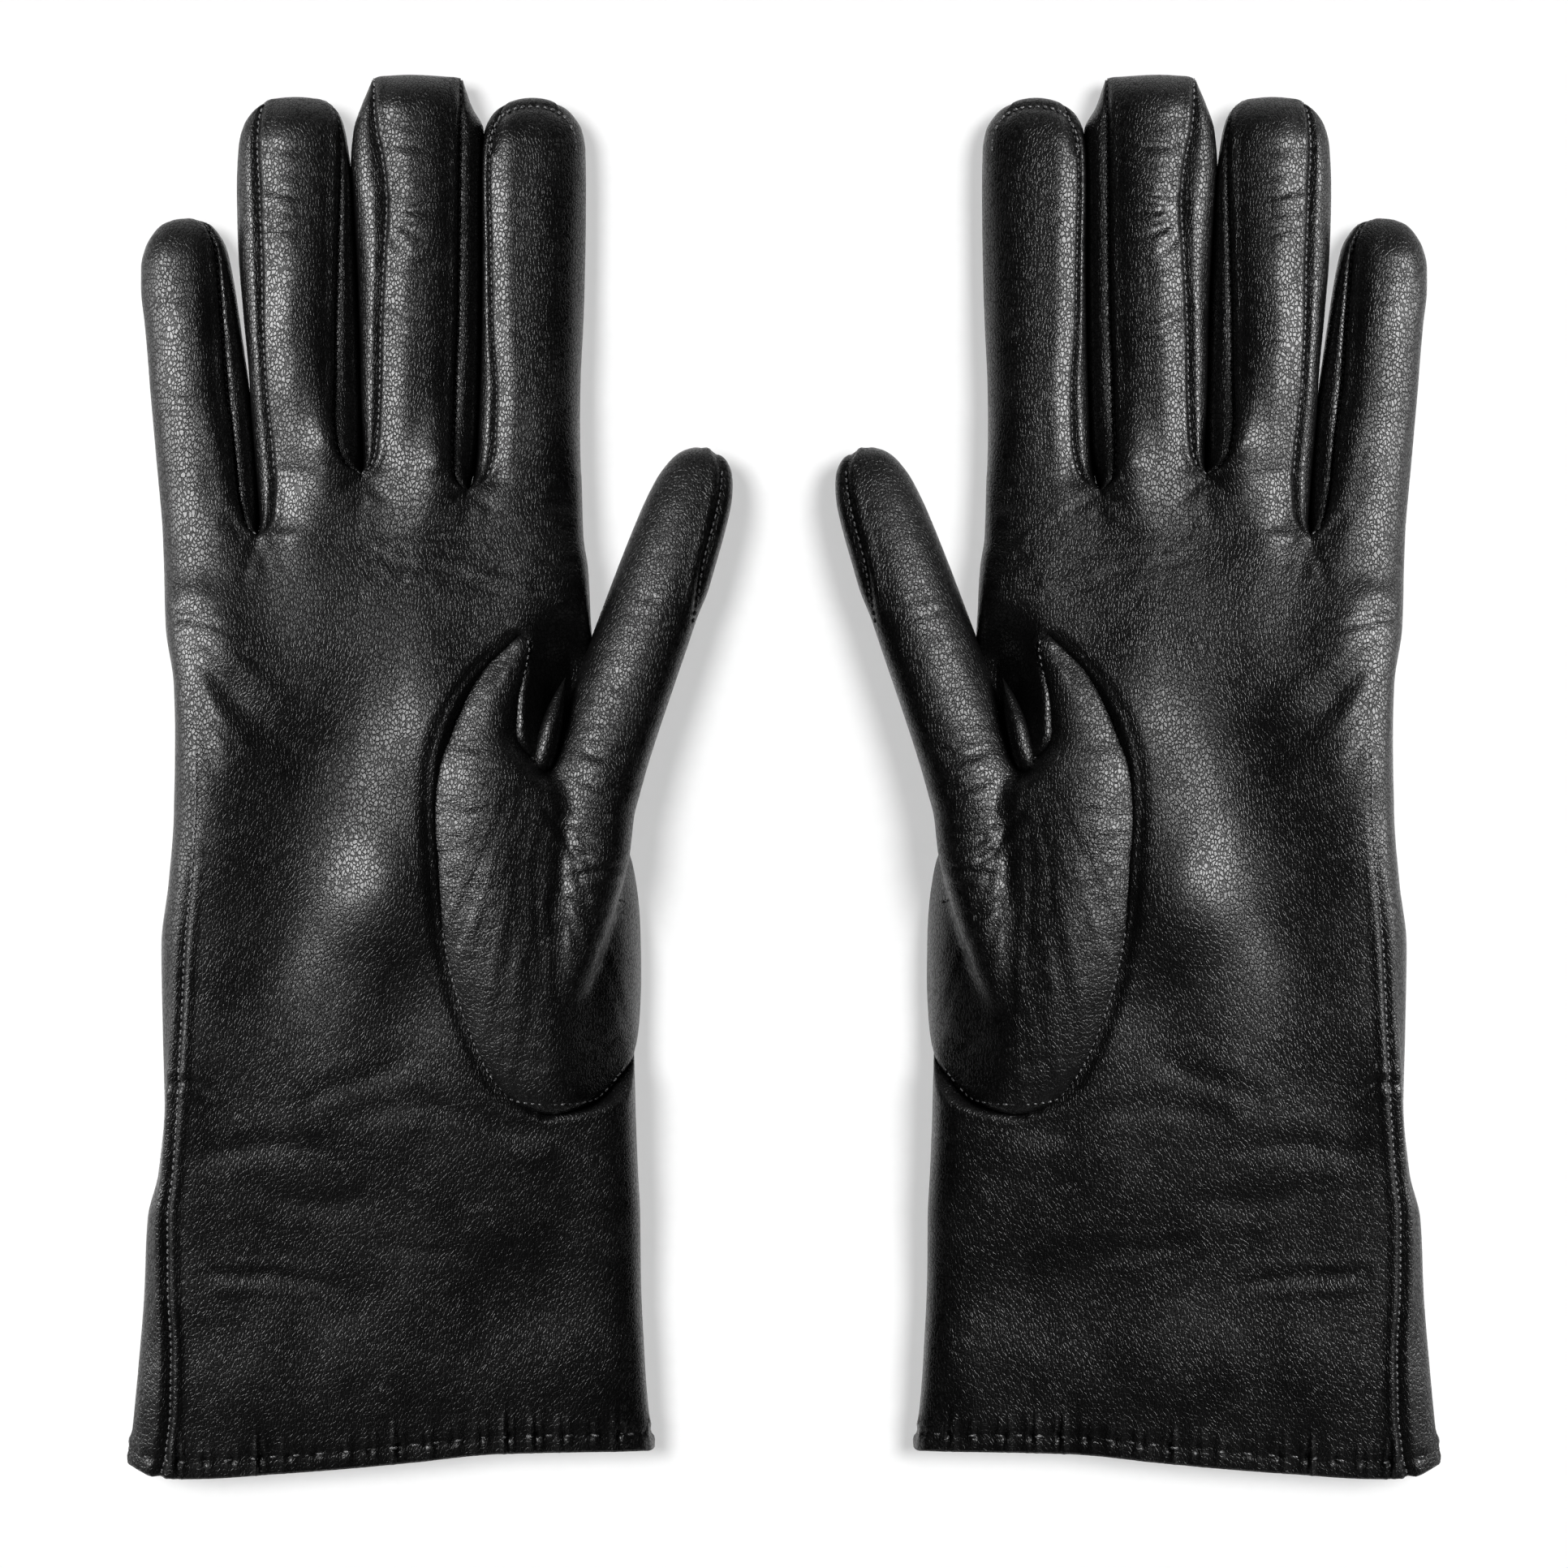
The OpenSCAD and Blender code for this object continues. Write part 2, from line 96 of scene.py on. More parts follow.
# each finger: y, thumb-side outline, little-side outline, thumb-side seam, little-side seam, thickness
FINGER = {
    "index": [
        [63, 45.0, 70.0, 50.0, 70.0, 19.2], [64.6, 45.0, 69.3, 50.0, 67.5, 19.2],
        [68, 45.1, 68.8, 50.0, 65.2, 19.0], [74, 45.2, 68.3, 50.0, 64.0, 18.9],
        [84, 45.3, 67.85, 50.0, 63.7, 18.7], [100, 44.7, 67.45, 49.6, 64.7, 18.3],
        [115, 44.2, 67.35, 49.2, 65.1, 17.8], [131, 44.0, 67.4, 49.0, 65.4, 17.0],
        [139, 44.1, 67.2, 48.6, 65.1, 16.2], [144, 44.9, 66.4, 48.8, 64.2, 15.6],
        [147.4, 46.8, 64.9, 49.6, 62.9, 15.0], [149.4, 49.0, 62.8, 50.6, 61.6, 14.8],
        [150.2, 51.4, 60.4, 52.0, 59.8, 14.6],
    ],
    "middle": [
        [63, 70.0, 93.3, 70.0, 93.3, 19.2], [64.6, 69.4, 93.4, 72.0, 93.4, 19.2],
        [66.5, 68.95, 93.4, 73.0, 93.4, 19.2], [68.2, 68.65, 93.5, 73.3, 91.9, 19.2],
        [72, 68.1, 93.8, 73.4, 90.6, 19.2], [82, 67.6, 94.1, 72.7, 89.8, 19.2],
        [100, 67.1, 94.5, 72.1, 89.4, 19.2], [115, 67.0, 95.15, 71.9, 88.6, 19.0],
        [128, 67.1, 95.85, 71.8, 88.1, 18.6], [136, 67.0, 96.2, 71.7, 88.9, 18.0],
        [143, 66.8, 95.7, 71.6, 90.4, 17.2], [149, 69.4, 94.0, 71.5, 91.0, 16.6],
        [155.6, 71.3, 91.4, 71.6, 91.1, 16.0],
    ],
    "ring": [
        [53, 93.0, 116.6, 93.0, 116.6, 20.2], [54.6, 93.1, 116.4, 93.1, 114.9, 20.0],
        [58, 93.2, 116.7, 93.2, 113.4, 19.7], [66.5, 93.4, 117.35, 93.4, 113.0, 19.1],
        [68.2, 93.45, 117.5, 96.0, 113.1, 19.0], [72, 93.6, 117.8, 98.8, 113.4, 19.0],
        [80, 93.8, 118.4, 99.9, 114.2, 18.9], [90, 94.05, 119.0, 99.4, 115.0, 18.8],
        [104, 94.45, 120.2, 98.9, 115.6, 18.5], [115, 95.0, 121.2, 98.6, 115.8, 18.0],
        [131, 95.9, 121.7, 98.4, 116.5, 17.0], [140, 97.0, 121.2, 98.4, 117.0, 16.4],
        [145.4, 97.9, 120.0, 98.9, 116.8, 15.8], [148.8, 99.2, 118.0, 99.8, 116.4, 15.2],
        [150.6, 101.4, 115.6, 101.6, 115.4, 15.0],
    ],
    "little": [
        [53, 116.6, 138.0, 116.6, 133.0, 19.6], [54.6, 116.5, 138.1, 118.4, 133.0, 19.3],
        [58, 116.45, 138.4, 120.2, 133.2, 18.9], [64, 116.8, 139.0, 121.4, 133.6, 18.2],
        [75, 117.65, 140.0, 122.4, 134.6, 17.6], [87, 118.9, 141.0, 123.6, 135.6, 17.0],
        [100, 120.9, 142.0, 124.6, 136.6, 16.4], [108, 122.1, 142.9, 125.2, 137.4, 15.8],
        [113, 123.0, 143.0, 125.6, 138.0, 15.2], [117.6, 124.1, 142.0, 126.2, 138.2, 14.6],
        [120.8, 125.8, 140.2, 127.4, 137.6, 14.2], [122.8, 127.7, 138.2, 128.6, 137.0, 13.8],
        [123.6, 129.9, 136.1, 130.3, 135.7, 13.6],
    ],
}
TIP_Y = {"index": 150.2, "middle": 155.6, "ring": 150.6, "little": 123.6}
TIP_ROUND = {"index": 10.0, "middle": 8.0, "ring": 9.0, "little": 9.0}
TIP_CENTRE_Z = 8.4
START_Y = {"index": 66.5, "middle": 66.5, "ring": 66.5, "little": 53.0}
# spans up each finger round its knuckle and its middle joint; its leather is cut into a lower and an upper
# piece halfway between them
KNUCKLE_BEND = {"index": (66.5, 84.0), "middle": (66.5, 85.0), "ring": (66.5, 84.5), "little": (53.0, 68.0)}
MIDDLE_BEND = {"index": (88.0, 105.0), "middle": (89.0, 107.0), "ring": (88.5, 106.0), "little": (73.0, 89.0)}

# how far a fingertip's corners lie back from its middle
TIP_DOME = {"index": 0.6, "middle": 0.7, "ring": 0.9, "little": 0.25}
# the back lies on the table, and rises towards its edges by a part of what the palm face falls
BACK_Z = 0.15
BACK_FALL = 0.6
# the sides are widest at this part of the thickness; the exponents say how square their curves are
MID_SHARE = 0.47
OUTER_ROUND = 2.3
PALM_ROUND = 3.6
FORK_ROUND = 0.85
FACE_POWER = {"index": 4.0, "middle": 2.6, "ring": 2.3, "little": 2.1}
CROTCH_SQUARE = 5.0
# width of the palm's rounded edge on the thumb side
EDGE_ROUND = 5.0
# mesh: distance between rows, columns across a palm face, the step between those the back has, half a side's
ROW_STEP = 0.86
PALM_COLS = 44
BACK_SKIP = 2
SIDE_COLS = 8
# a face falls this far to a seam between fingers, and a shallower valley runs on below the crotch
SEAM_DROP = 3.5
VALLEY_DROP = 1.5
VALLEY_LENGTH = 11.0
# the hem: x and how far above its straight line it lies, where that has faded out, and the turned-in band
HEM_Y = HAND[0][0]
HEM_LINE = [[28, 1.1], [62, 0.5], [84, -1.6], [112, -3.9], [132, -5.0], [140, -4.3], [146, -1.6]]
HEM_FADE_Y = -85.0
HEM_DEPTH = 11.0
HEM_INSET = 1.45
TACK_HEIGHT = 3.6
TACK_PITCH = 6.1
PLEAT_GAP = 0.95
PLEAT_HEIGHT = 0.8
LINING_INSET = 2.3
LINING_TOP = 34.0


def smooth(low, high, x):
    t = np.clip((np.asarray(x, float) - low) / (high - low), 0, 1)
    return t * t * (3 - 2 * t)


def track(rows, y):
    """A smooth line through rows [y, a, b, ...], read at y: monotone between rows, so never past them."""
    rows = np.array(rows, float)
    x, v = rows[:, 0], rows[:, 1:]
    step = np.diff(x)[:, None]
    slope = np.diff(v, axis=0) / step
    m = np.vstack([slope[:1], np.zeros((len(x) - 2, v.shape[1])), slope[-1:]])
    a, b = slope[:-1], slope[1:]
    same = a * b > 0
    m[1:-1] = np.where(same, 2 * a * b / np.where(same, a + b, 1), 0)
    y = np.clip(np.atleast_1d(np.asarray(y, float)), x[0], x[-1])
    i = np.clip(np.searchsorted(x, y) - 1, 0, len(x) - 2)
    h = step[i]
    t = ((y - x[i]) / h[:, 0])[:, None]
    return (
        v[i] * (1 + 2 * t) * (1 - t) ** 2 + m[i] * h * t * (1 - t) ** 2
        + v[i + 1] * t * t * (3 - 2 * t) + m[i + 1] * h * t * t * (t - 1)
    )


def full_turn(count):
    return np.linspace(0, 2 * math.pi, count, endpoint=False)


def noise(x, y, size, seed):
    """Soft value noise from -1 to 1, with features about `size` (x size, y size) across."""
    table = np.random.default_rng(SEED + seed).uniform(-1, 1, (64, 64))
    u, v = x / size[0] + 137.3, y / size[1] + 211.7
    i, j = np.floor(u).astype(int), np.floor(v).astype(int)
    a, b = u - i, v - j
    a, b = a**3 * (a * (6 * a - 15) + 10), b**3 * (b * (6 * b - 15) + 10)
    pick = lambda p, q: table[p % 64, q % 64]
    return (
        (pick(i, j) * (1 - a) + pick(i + 1, j) * a) * (1 - b)
        + (pick(i, j + 1) * (1 - a) + pick(i + 1, j + 1) * a) * b
    )


# ------------------------------------------------------------------ trank and fingers as lanes
CROWN_EDGE = 0.5
HEEL_FALL = 1.4
NOTCH_DEPTH = 12.0


def sheet_top(x, y):
    """Height of the palm's surface below the fingers."""
    inner, outer, thick = track(HAND, y).T[:, :, None]
    across = np.clip(2 * (x - inner) / (outer - inner) - 1, -1, 1)
    top = thick - CROWN_EDGE * np.abs(across) ** 4
    top = top - HEEL_FALL * smooth(96, 130, x) * smooth(8, 52, y)[:, None]
    # the palm turns down into the notch beside the thumb
    notch = smooth(-24, -4, y) * (1 - smooth(24, 40, y))
    top = top - NOTCH_DEPTH * (1 - smooth(45, 59.5, x)) * notch[:, None]
    # soft hollows and mounds
    for cx, cy, rx, ry, rise in RELIEF:
        top = top + rise * np.exp(-(((x - cx) / rx) ** 2) - ((y[:, None] - cy) / ry) ** 2)
    return top


RELIEF = [
    (99, 0, 13, 20, -2.8), (110, -36, 12, 24, -3.0), (86, -27, 10, 15, 2.6), (73, 7, 11, 14, 1.8),
    (124, -4, 9, 24, 1.2), (124, 32, 8, 12, 1.6), (99.5, 75, 5.5, 11, 3.4), (75.5, 68, 5.5, 10, 2.6),
    (57, 46, 9, 16, 0.7), (122, -72, 12, 14, -1.3), (70, -92, 18, 14, 0.9), (104, -98, 16, 12, -0.9),
    (60, -118, 20, 12, -0.8), (115, -126, 18, 12, 0.6), (132, -72, 4, 12, 0.8), (84, -52, 9, 14, -1.2),
]


def edge_lines(lane, side, y):
    """Outline x and seam x of one side of a lane, and how far each row is past that side's crotch."""
    edge = lane + (side > 0)
    table = track(FINGER[FINGERS[lane]], y)
    outline, seam = table[:, 0 if side < 0 else 1], table[:, 2 if side < 0 else 3]
    if edge in (0, 4):
        hand = track(HAND, y)
        below = y <= START_Y[FINGERS[lane]]
        hand_outline = hand[:, 0 if edge == 0 else 1]
        hand_seam = hand_outline + EDGE_ROUND if edge == 0 else track(SIDE_SEAM, y)[:, 0]
        return np.where(below, hand_outline, outline), np.where(below, hand_seam, seam), None
    past = y - CROTCH_Y[edge - 1]
    line = track(LANE_LINES[edge - 1], y)[:, 0]
    return np.where(past <= 0, line, outline), np.where(past <= 0, line, seam), past


def roundness(name, y):
    """Exponent of the outer side's curve: squarish on the palm, rounder on the finger."""
    start = START_Y[name]
    return (PALM_ROUND - (PALM_ROUND - OUTER_ROUND) * smooth(start - 30, start + 20, y))[:, None]


def outer_curve(part, n):
    """Height, 1 to 0, of a free side's curve, at a part of the way from the middle to the outline."""
    return (1 - np.clip(part, 0, 1) ** n) ** (1 / n)


def side_drop(past, s, power):
    """How far the palm face falls at one side of a lane, at s = 0 (middle) to 1 (edge)."""
    below = VALLEY_DROP * np.exp(np.minimum(past, 0) / VALLEY_LENGTH)
    depth = below + (SEAM_DROP - VALLEY_DROP) * (1 - np.exp(-np.maximum(past, 0) / 4.0))
    w = smooth(-2, 7, past)[:, None]
    shape = (1 - w) * (1 - np.cos(np.pi * s)) / 2 + w * s**power
    return depth[:, None] * shape


def lane_grid(lane, y, inset=0.0):
    """Palm face, back face and both side strips of a lane at rows y, as grids of points."""
    name = FINGERS[lane]
    y = np.asarray(y, float)
    out_in, seam_in, past_in = edge_lines(lane, -1, y)
    out_out, seam_out, past_out = edge_lines(lane, 1, y)
    out_in, seam_in = out_in + inset, seam_in + inset
    out_out, seam_out = out_out - inset, seam_out - inset
    thick = track(FINGER[name], y)[:, 4]
    start = START_Y[name]
    on_finger = smooth(start, start + 24, y)[:, None]

    u = np.linspace(-1, 1, PALM_COLS + 1)
    s = (u * (1.25 - 0.25 * u * u))[None, :]
    x = (seam_in * 0.5)[:, None] * (1 - s) + (seam_out * 0.5)[:, None] * (1 + s)
    top = sheet_top(x, y) * (1 - on_finger) + thick[:, None] * on_finger - inset
    power, n = FACE_POWER[name], roundness(name, y)
    middle = (seam_in + seam_out) / 2
    falls, shares = [], []
    for outline, seam, past in ((out_in, seam_in, past_in), (out_out, seam_out, past_out)):
        share = ((seam - middle) / (outline - middle))[:, None]
        shares.append(share)
        if past is None:
            falls.append((1 - MID_SHARE) * thick[:, None] * (1 - outer_curve(np.abs(s) * share, n)))
        else:
            square = CROTCH_SQUARE * np.exp(-((past / 16) ** 2))[:, None] if seam is seam_in else 0
            falls.append(side_drop(past, np.abs(s), power + square))
    fall = np.where(s < 0, falls[0], falls[1])
    z = top - fall
    back_z = BACK_Z + inset + BACK_FALL * fall

    tip, r = TIP_Y[name], TIP_ROUND[name]
    q = np.sqrt(np.clip(1 - (np.maximum(y - (tip - r), 0) / r) ** 2, 0, 1))[:, None]
    z, back_z = (TIP_CENTRE_Z + (v - TIP_CENTRE_Z) * q for v in (z, back_z))

    def strip(outline, seam, face_z, under_z, share):
        t = np.linspace(0, math.pi, 2 * SIDE_COLS + 1)[None, :]
        mid = under_z + (face_z - under_z) * MID_SHARE
        if share is None:
            reach = np.abs(np.sin(t)) ** FORK_ROUND
            level = np.abs(np.cos(t)) ** FORK_ROUND
        else:
            reach = np.abs(np.sin(t))
            level = outer_curve(share + (1 - share) * reach, n) / outer_curve(share, n)
        px = seam[:, None] + (outline - seam)[:, None] * reach
        rise = np.where(np.cos(t) >= 0, (face_z - mid)[:, None], -(mid - under_z)[:, None])
        return px, mid[:, None] + rise * level

    dome = TIP_DOME[name] * smooth(tip - 13, tip, y)
    rows = y[:, None] - dome[:, None] * s * s
    palm = np.stack([x, rows, z], -1)
    back = np.stack([x, rows, back_z], -1)[:, ::BACK_SKIP]
    grids = {"palm": palm, "back": back}
    free = (shares[0] if past_in is None else None, shares[1] if past_out is None else None)
    for key, outline, seam, col in (("in", out_in, seam_in, 0), ("out", out_out, seam_out, -1)):
        px, pz = strip(outline, seam, z[:, col], back_z[:, col], free[col])
        width = np.abs(outline - seam)[:, None]
        reach = np.where(width > 0.01, np.abs(px - seam[:, None]) / np.maximum(width, 1e-6), 0)
        py = y[:, None] - dome[:, None] * (1 + 0.6 * reach)
        grids[key] = np.stack([px, py, pz], -1)
    return grids


def hem_shift(points):
    """The hem runs a little lower on the little-finger side."""
    x, y = points[..., 0], points[..., 1]
    drop = track(HEM_LINE, x.ravel())[:, 0].reshape(x.shape)
    points[..., 1] = y + drop * (1 - smooth(HEM_Y, HEM_FADE_Y, y))
    return points


def rows_between(low, high):
    return np.linspace(low, high, max(2, int(round((high - low) / ROW_STEP)) + 1))


trank_rows = np.concatenate([
    rows_between(HEM_Y, 45), rows_between(45, 53)[1:], rows_between(53, 63)[1:], rows_between(63, 66.5)[1:],
])


def finger_rows(name):
    r, tip = TIP_ROUND[name], TIP_Y[name]
    cap = tip - r + r * np.sin(np.linspace(0, math.pi / 2, 15))
    return np.concatenate([rows_between(START_Y[name], tip - r), cap[1:]])


# ------------------------------------------------------------------ wrinkles
# each fold: depth, width, then its points x, y
FOLDS = [
    (0.3, 1.1, (139, 34.3), (133, 34.8), (127, 33.6), (120, 30.6)),
    (-0.35, 2.6, (137, 39), (130, 40), (122, 39)),
    (0.8, 3.2, (134, 31), (129, 26), (122, 18), (113, 9), (103, 3)),
    (0.35, 2.2, (134, 27), (130, 17), (127, 7), (124, -3)),
    (0.2, 1.4, (130, 32), (122, 28), (112, 22), (104, 20)), (0.2, 1.3, (133, 24), (126, 13), (118, 2)),
    (0.25, 1.05, (90, 53.8), (78, 52.6), (66, 52.2)), (0.25, 1.05, (84, 50), (74, 48.4), (62, 49.2)),
    (0.25, 1.05, (88, 47.5), (76, 45.4), (60, 46)), (0.2, 1.05, (80, 43.5), (70, 41.6), (58, 40.6)),
    (0.25, 1.05, (78, 46.5), (70, 43), (58, 38.2)), (0.2, 1.05, (75, 41.5), (66, 38.6), (56, 36)),
    (0.2, 1.05, (56, 56), (51, 54), (46, 54.6)), (0.25, 1.05, (54, 48.5), (49, 46.6), (44, 46.8)),
    (0.23, 1.05, (55, 42), (50, 40), (44, 41)), (0.2, 1.05, (58, 58.5), (50, 60), (46, 59)),
    (0.8, 1.0, (135, -68.2), (131, -67.6), (127, -70)),
    (0.3, 2.2, (129, -84), (115, -81.5), (97, -82.5)),
    (0.4, 1.4, (128, -110.3), (113, -111), (99, -113)),
    (0.2, 1.6, (90, -103), (80, -105.5), (70, -106)),
    (0.3, 2.3, (97, -75), (80, -72.6), (62, -77.5), (45, -77), (34, -74)),
    (0.25, 2.2, (72, -80.5), (52, -79.6), (34, -84)), (0.25, 2.2, (104, -71), (92, -67), (82, -62)),
    (0.3, 2.4, (118, -92), (104, -95), (90, -93)),
    (0.34, 1.05, (88.4, 127.5), (84, 131.5), (79, 133.5)),
    (0.42, 1.05, (88.4, 126.8), (84, 128.4), (77, 129.6)),
    (0.32, 1.05, (88.4, 126), (83, 125), (76, 125.8)),
    (0.4, 1.05, (88.5, 125.2), (84.5, 121.4), (80, 119.8)),
    (0.3, 1.05, (88.7, 123.6), (86.4, 118.4), (83, 114.6)),
    (0.22, 1.05, (88.8, 114), (83, 112), (76.5, 112.6)),
    (0.36, 1.05, (89.4, 103), (84, 99.4), (77, 98.4)), (0.32, 1.05, (89.4, 99), (83, 96), (76, 95.4)),
    (0.26, 1.05, (89, 140), (80, 138.8), (73, 140)),
    (0.17, 1.05, (116.5, 139), (108, 138.2), (101, 139.4)),
    (0.21, 1.05, (116, 130.4), (110, 128.4), (102, 127.4)),
    (0.21, 1.05, (116, 126), (109, 124.2), (101, 125.4)),
    (0.17, 1.05, (115.6, 121.4), (108, 120.2), (101, 121)),
    (0.15, 1.05, (115, 98), (108, 96.6), (101, 97.4)), (0.15, 1.05, (63, 128), (56, 126.6), (48, 128)),
    (0.15, 1.05, (63, 124), (56, 122.4), (50, 123.2)), (0.15, 1.05, (63, 99), (56, 97.4), (47, 98.6)),
    (0.17, 1.05, (140, 84), (132, 82.4), (125, 83.4)),
    (0.15, 1.05, (140.6, 107), (133, 105.4), (127, 106.4)),
    (0.15, 1.2, (116.6, 51), (115, 47), (114, 43)), (0.25, 1.1, (116.8, 51), (118.6, 46), (120, 42)),
    (0.12, 1.2, (93.2, 64.5), (93.6, 61), (94.6, 56)), (0.22, 1.05, (92.6, 65), (89.8, 62.5), (87, 61)),
    (0.22, 1.05, (94, 65), (96.6, 63), (99, 62.2)), (0.12, 1.2, (70, 61), (69.8, 58), (70.6, 54)),
    (0.22, 1.05, (69.4, 62), (66.6, 60), (64, 59.2)), (0.22, 1.05, (70.6, 62), (73.4, 60), (76, 59.6)),
]


def fold_field(x, y, folds):
    """Height of a set of folds: a soft groove along each, with a low swelling on both sides."""
    height = np.zeros_like(x)
    for depth, width, *points in folds:
        points = np.array(points, float)
        low, high = points.min(0) - 5 * width, points.max(0) + 5 * width
        near = np.where((x > low[0]) & (x < high[0]) & (y > low[1]) & (y < high[1]))[0]
        if not len(near):
            continue
        px, py = x[near], y[near]
        lengths = np.hypot(*np.diff(points, axis=0).T)
        total = lengths.sum()
        best, place = np.full(len(near), 1e9), np.zeros(len(near))
        for (a, b, run, done) in zip(points[:-1], points[1:], lengths, np.cumsum(lengths) - lengths):
            t = np.clip(((px - a[0]) * (b[0] - a[0]) + (py - a[1]) * (b[1] - a[1])) / run**2, 0, 1)
            gap = np.hypot(px - a[0] - t * (b[0] - a[0]), py - a[1] - t * (b[1] - a[1]))
            closer = gap < best
            best = np.where(closer, gap, best)
            place = np.where(closer, (done + t * run) / total, place)
        fade = np.sin(np.pi * np.clip(0.12 + 0.84 * place, 0, 1)) ** 0.8
        d = best / width
        height[near] += depth * fade * (0.45 * np.exp(-((d - 2.1) / 1.1) ** 2) - np.exp(-d * d))
    return height


def leather_relief(x, y):
    """Everything the skin does by itself on the palm side: slow waves, creasing and the placed folds."""
    slow = 0.45 * noise(x, y, (21, 26), 1) + 0.22 * noise(x, y, (9, 12), 2)
    creased = smooth(-0.25, 0.45, noise(x, y, (17, 13), 3))
    knuckles = np.exp(-(((y - 47) / 13) ** 2)) * (1 - smooth(86, 108, x))
    fingers = np.exp(-(((y - 124) / 13) ** 2)) * (x > 66) * (x < 120)
    edge = smooth(112, 130, x) * np.exp(-(((y - 26) / 18) ** 2))
    amount = np.clip(0.25 * creased + 0.7 * knuckles + 0.5 * fingers + 0.6 * edge, 0, 1)
    ripple = noise(x + 3 * noise(x, y, (8, 8), 5), y + 2 * noise(x, y, (9, 7), 6), (4.6, 1.5), 4)
    diagonal = noise(x * 0.8 + y * 0.6, y * 0.8 - x * 0.6, (6.0, 2.0), 7)
    fine = 0.12 * amount * (ripple + 0.7 * diagonal)
    return slow + fine + fold_field(x, y, FOLDS), np.clip(amount, 0, 1)


# ------------------------------------------------------------------ welding and normals
def face_grid(ids):
    a, b, c, d = ids[:-1, :-1], ids[:-1, 1:], ids[1:, 1:], ids[1:, :-1]
    return np.stack([a, b, c, d], -1).reshape(-1, 4)


def tube_faces(rows, around):
    """Quads of a tube whose points are numbered ring by ring."""
    ids = np.arange(rows * around).reshape(rows, around)
    return face_grid(np.concatenate([ids, ids[:, :1]], 1))


def point_normals(points, quads):
    n = np.cross(points[quads[:, 2]] - points[quads[:, 0]], points[quads[:, 3]] - points[quads[:, 1]])
    total = np.zeros_like(points)
    for k in range(4):
        np.add.at(total, quads[:, k], n)
    return total / np.maximum(np.linalg.norm(total, axis=1), 1e-9)[:, None]


# two kinds of surface, each shaded by its own normals: the faces, and the strips between the fingers
FACE, FORK = 0, 1


class Skin:
    """A set of point grids, welded where they share points, that pieces are cut from."""

    def __init__(self):
        self.grids = []

    def add(self, piece, points, flip=False, soft=FACE):
        self.grids.append((piece, points, flip, soft))

    def weld(self):
        flat = np.concatenate([g[1].reshape(-1, 3) for g in self.grids])
        key = np.round(flat * 2000).astype(np.int64)
        _, first, inverse = np.unique(key, axis=0, return_index=True, return_inverse=True)
        inverse = inverse.reshape(-1)
        self.points = flat[first].copy()
        self.ids, at = [], 0
        for _, points, _, _ in self.grids:
            size = points.shape[0] * points.shape[1]
            self.ids.append(inverse[at:at + size].reshape(points.shape[:2]))
            at += size
        self.faces = []
        for (_, _, flip, _), ids in zip(self.grids, self.ids):
            quads = face_grid(ids)
            self.faces.append(quads[:, ::-1] if flip else quads)

    def normals(self, soft=None):
        chosen = [f for f, g in zip(self.faces, self.grids) if soft is None or g[3] == soft]
        return point_normals(self.points, np.concatenate(chosen))

    def pieces(self):
        """For each piece name: points, faces and normals."""
        layers = {k: self.normals(k) for k in sorted({g[3] for g in self.grids})}
        found = {}
        for (piece, _, _, soft), quads in zip(self.grids, self.faces):
            found.setdefault(piece, []).append((soft, quads))
        result = {}
        for piece, parts in found.items():
            quads = np.concatenate([q for _, q in parts])
            used, index = np.unique(quads, return_inverse=True)
            result[piece] = (self.points[used], index.reshape(-1, 4), layers[parts[0][0]][used], used)
        return result


# ------------------------------------------------------------------ one glove's trank and fingers
skin = Skin()
seams = {}


def add_lane(lane, rows, piece, fork_piece, note):
    grids = {k: hem_shift(v) for k, v in lane_grid(lane, rows).items()}
    skin.add(piece, grids["palm"])
    seams[note + "_palm"] = len(skin.grids) - 1
    skin.add(piece, grids["back"], flip=True)
    for key, edge, flip in (("in", lane, True), ("out", lane + 1, False)):
        if edge in (0, 4):
            skin.add(piece, grids[key], flip=flip)
            seams[note + "_edge_" + key] = len(skin.grids) - 1
        else:
            free = rows >= CROTCH_Y[edge - 1] - 1e-6
            if free.sum() > 1:
                skin.add(fork_piece, grids[key][free], flip=flip, soft=FORK)
                seams[note + "_fork_" + key] = len(skin.grids) - 1


for lane, name in enumerate(FINGERS):
    low = trank_rows[trank_rows <= START_Y[name] + 1e-6]
    add_lane(lane, low, "trank", "fork_roots", name + "_root")
    rows = finger_rows(name)
    cut = int(np.argmin(np.abs(rows - (KNUCKLE_BEND[name][1] + MIDDLE_BEND[name][0]) / 2)))
    add_lane(lane, rows[:cut + 1], name + "_lower", name + "_fork_lower", name + "_lower")
    add_lane(lane, rows[cut:], name + "_upper", name + "_fork_upper", name + "_upper")
skin.weld()

# grooves along the seams, and the leather puffed up beside them
normal = skin.normals()
x, y = skin.points[:, 0].copy(), skin.points[:, 1].copy()
palm_side = smooth(0.0, 0.6, normal[:, 2])
relief, creased = leather_relief(x, y)
GROOVE, LIP = 0.75, 0.5
offset = relief * palm_side + (1 - palm_side) * 0.14 * noise(x + skin.points[:, 2], y, (11, 14), 9)


def cuff_seam_strength(rows):
    """The closing seam is boldest at the cuff and runs out below the little finger."""
    return (1 - smooth(-70, 0, rows)) * 1.5


def seam_profile(d):
    """Height across a seam at distance d from it: a groove with a lip beside it."""
    return LIP * np.exp(-((d - 1.7) / 1.1) ** 2) - GROOVE * np.exp(-((d / 0.62) ** 2))


# the index finger's seam goes on round its tip: centre, half width and height, and how square it is
TIP_SEAM_CENTRE = (55.7, 138.0)
TIP_SEAM_SIZE = (9.5, 10.2)
TIP_SEAM_POWER = 2.5


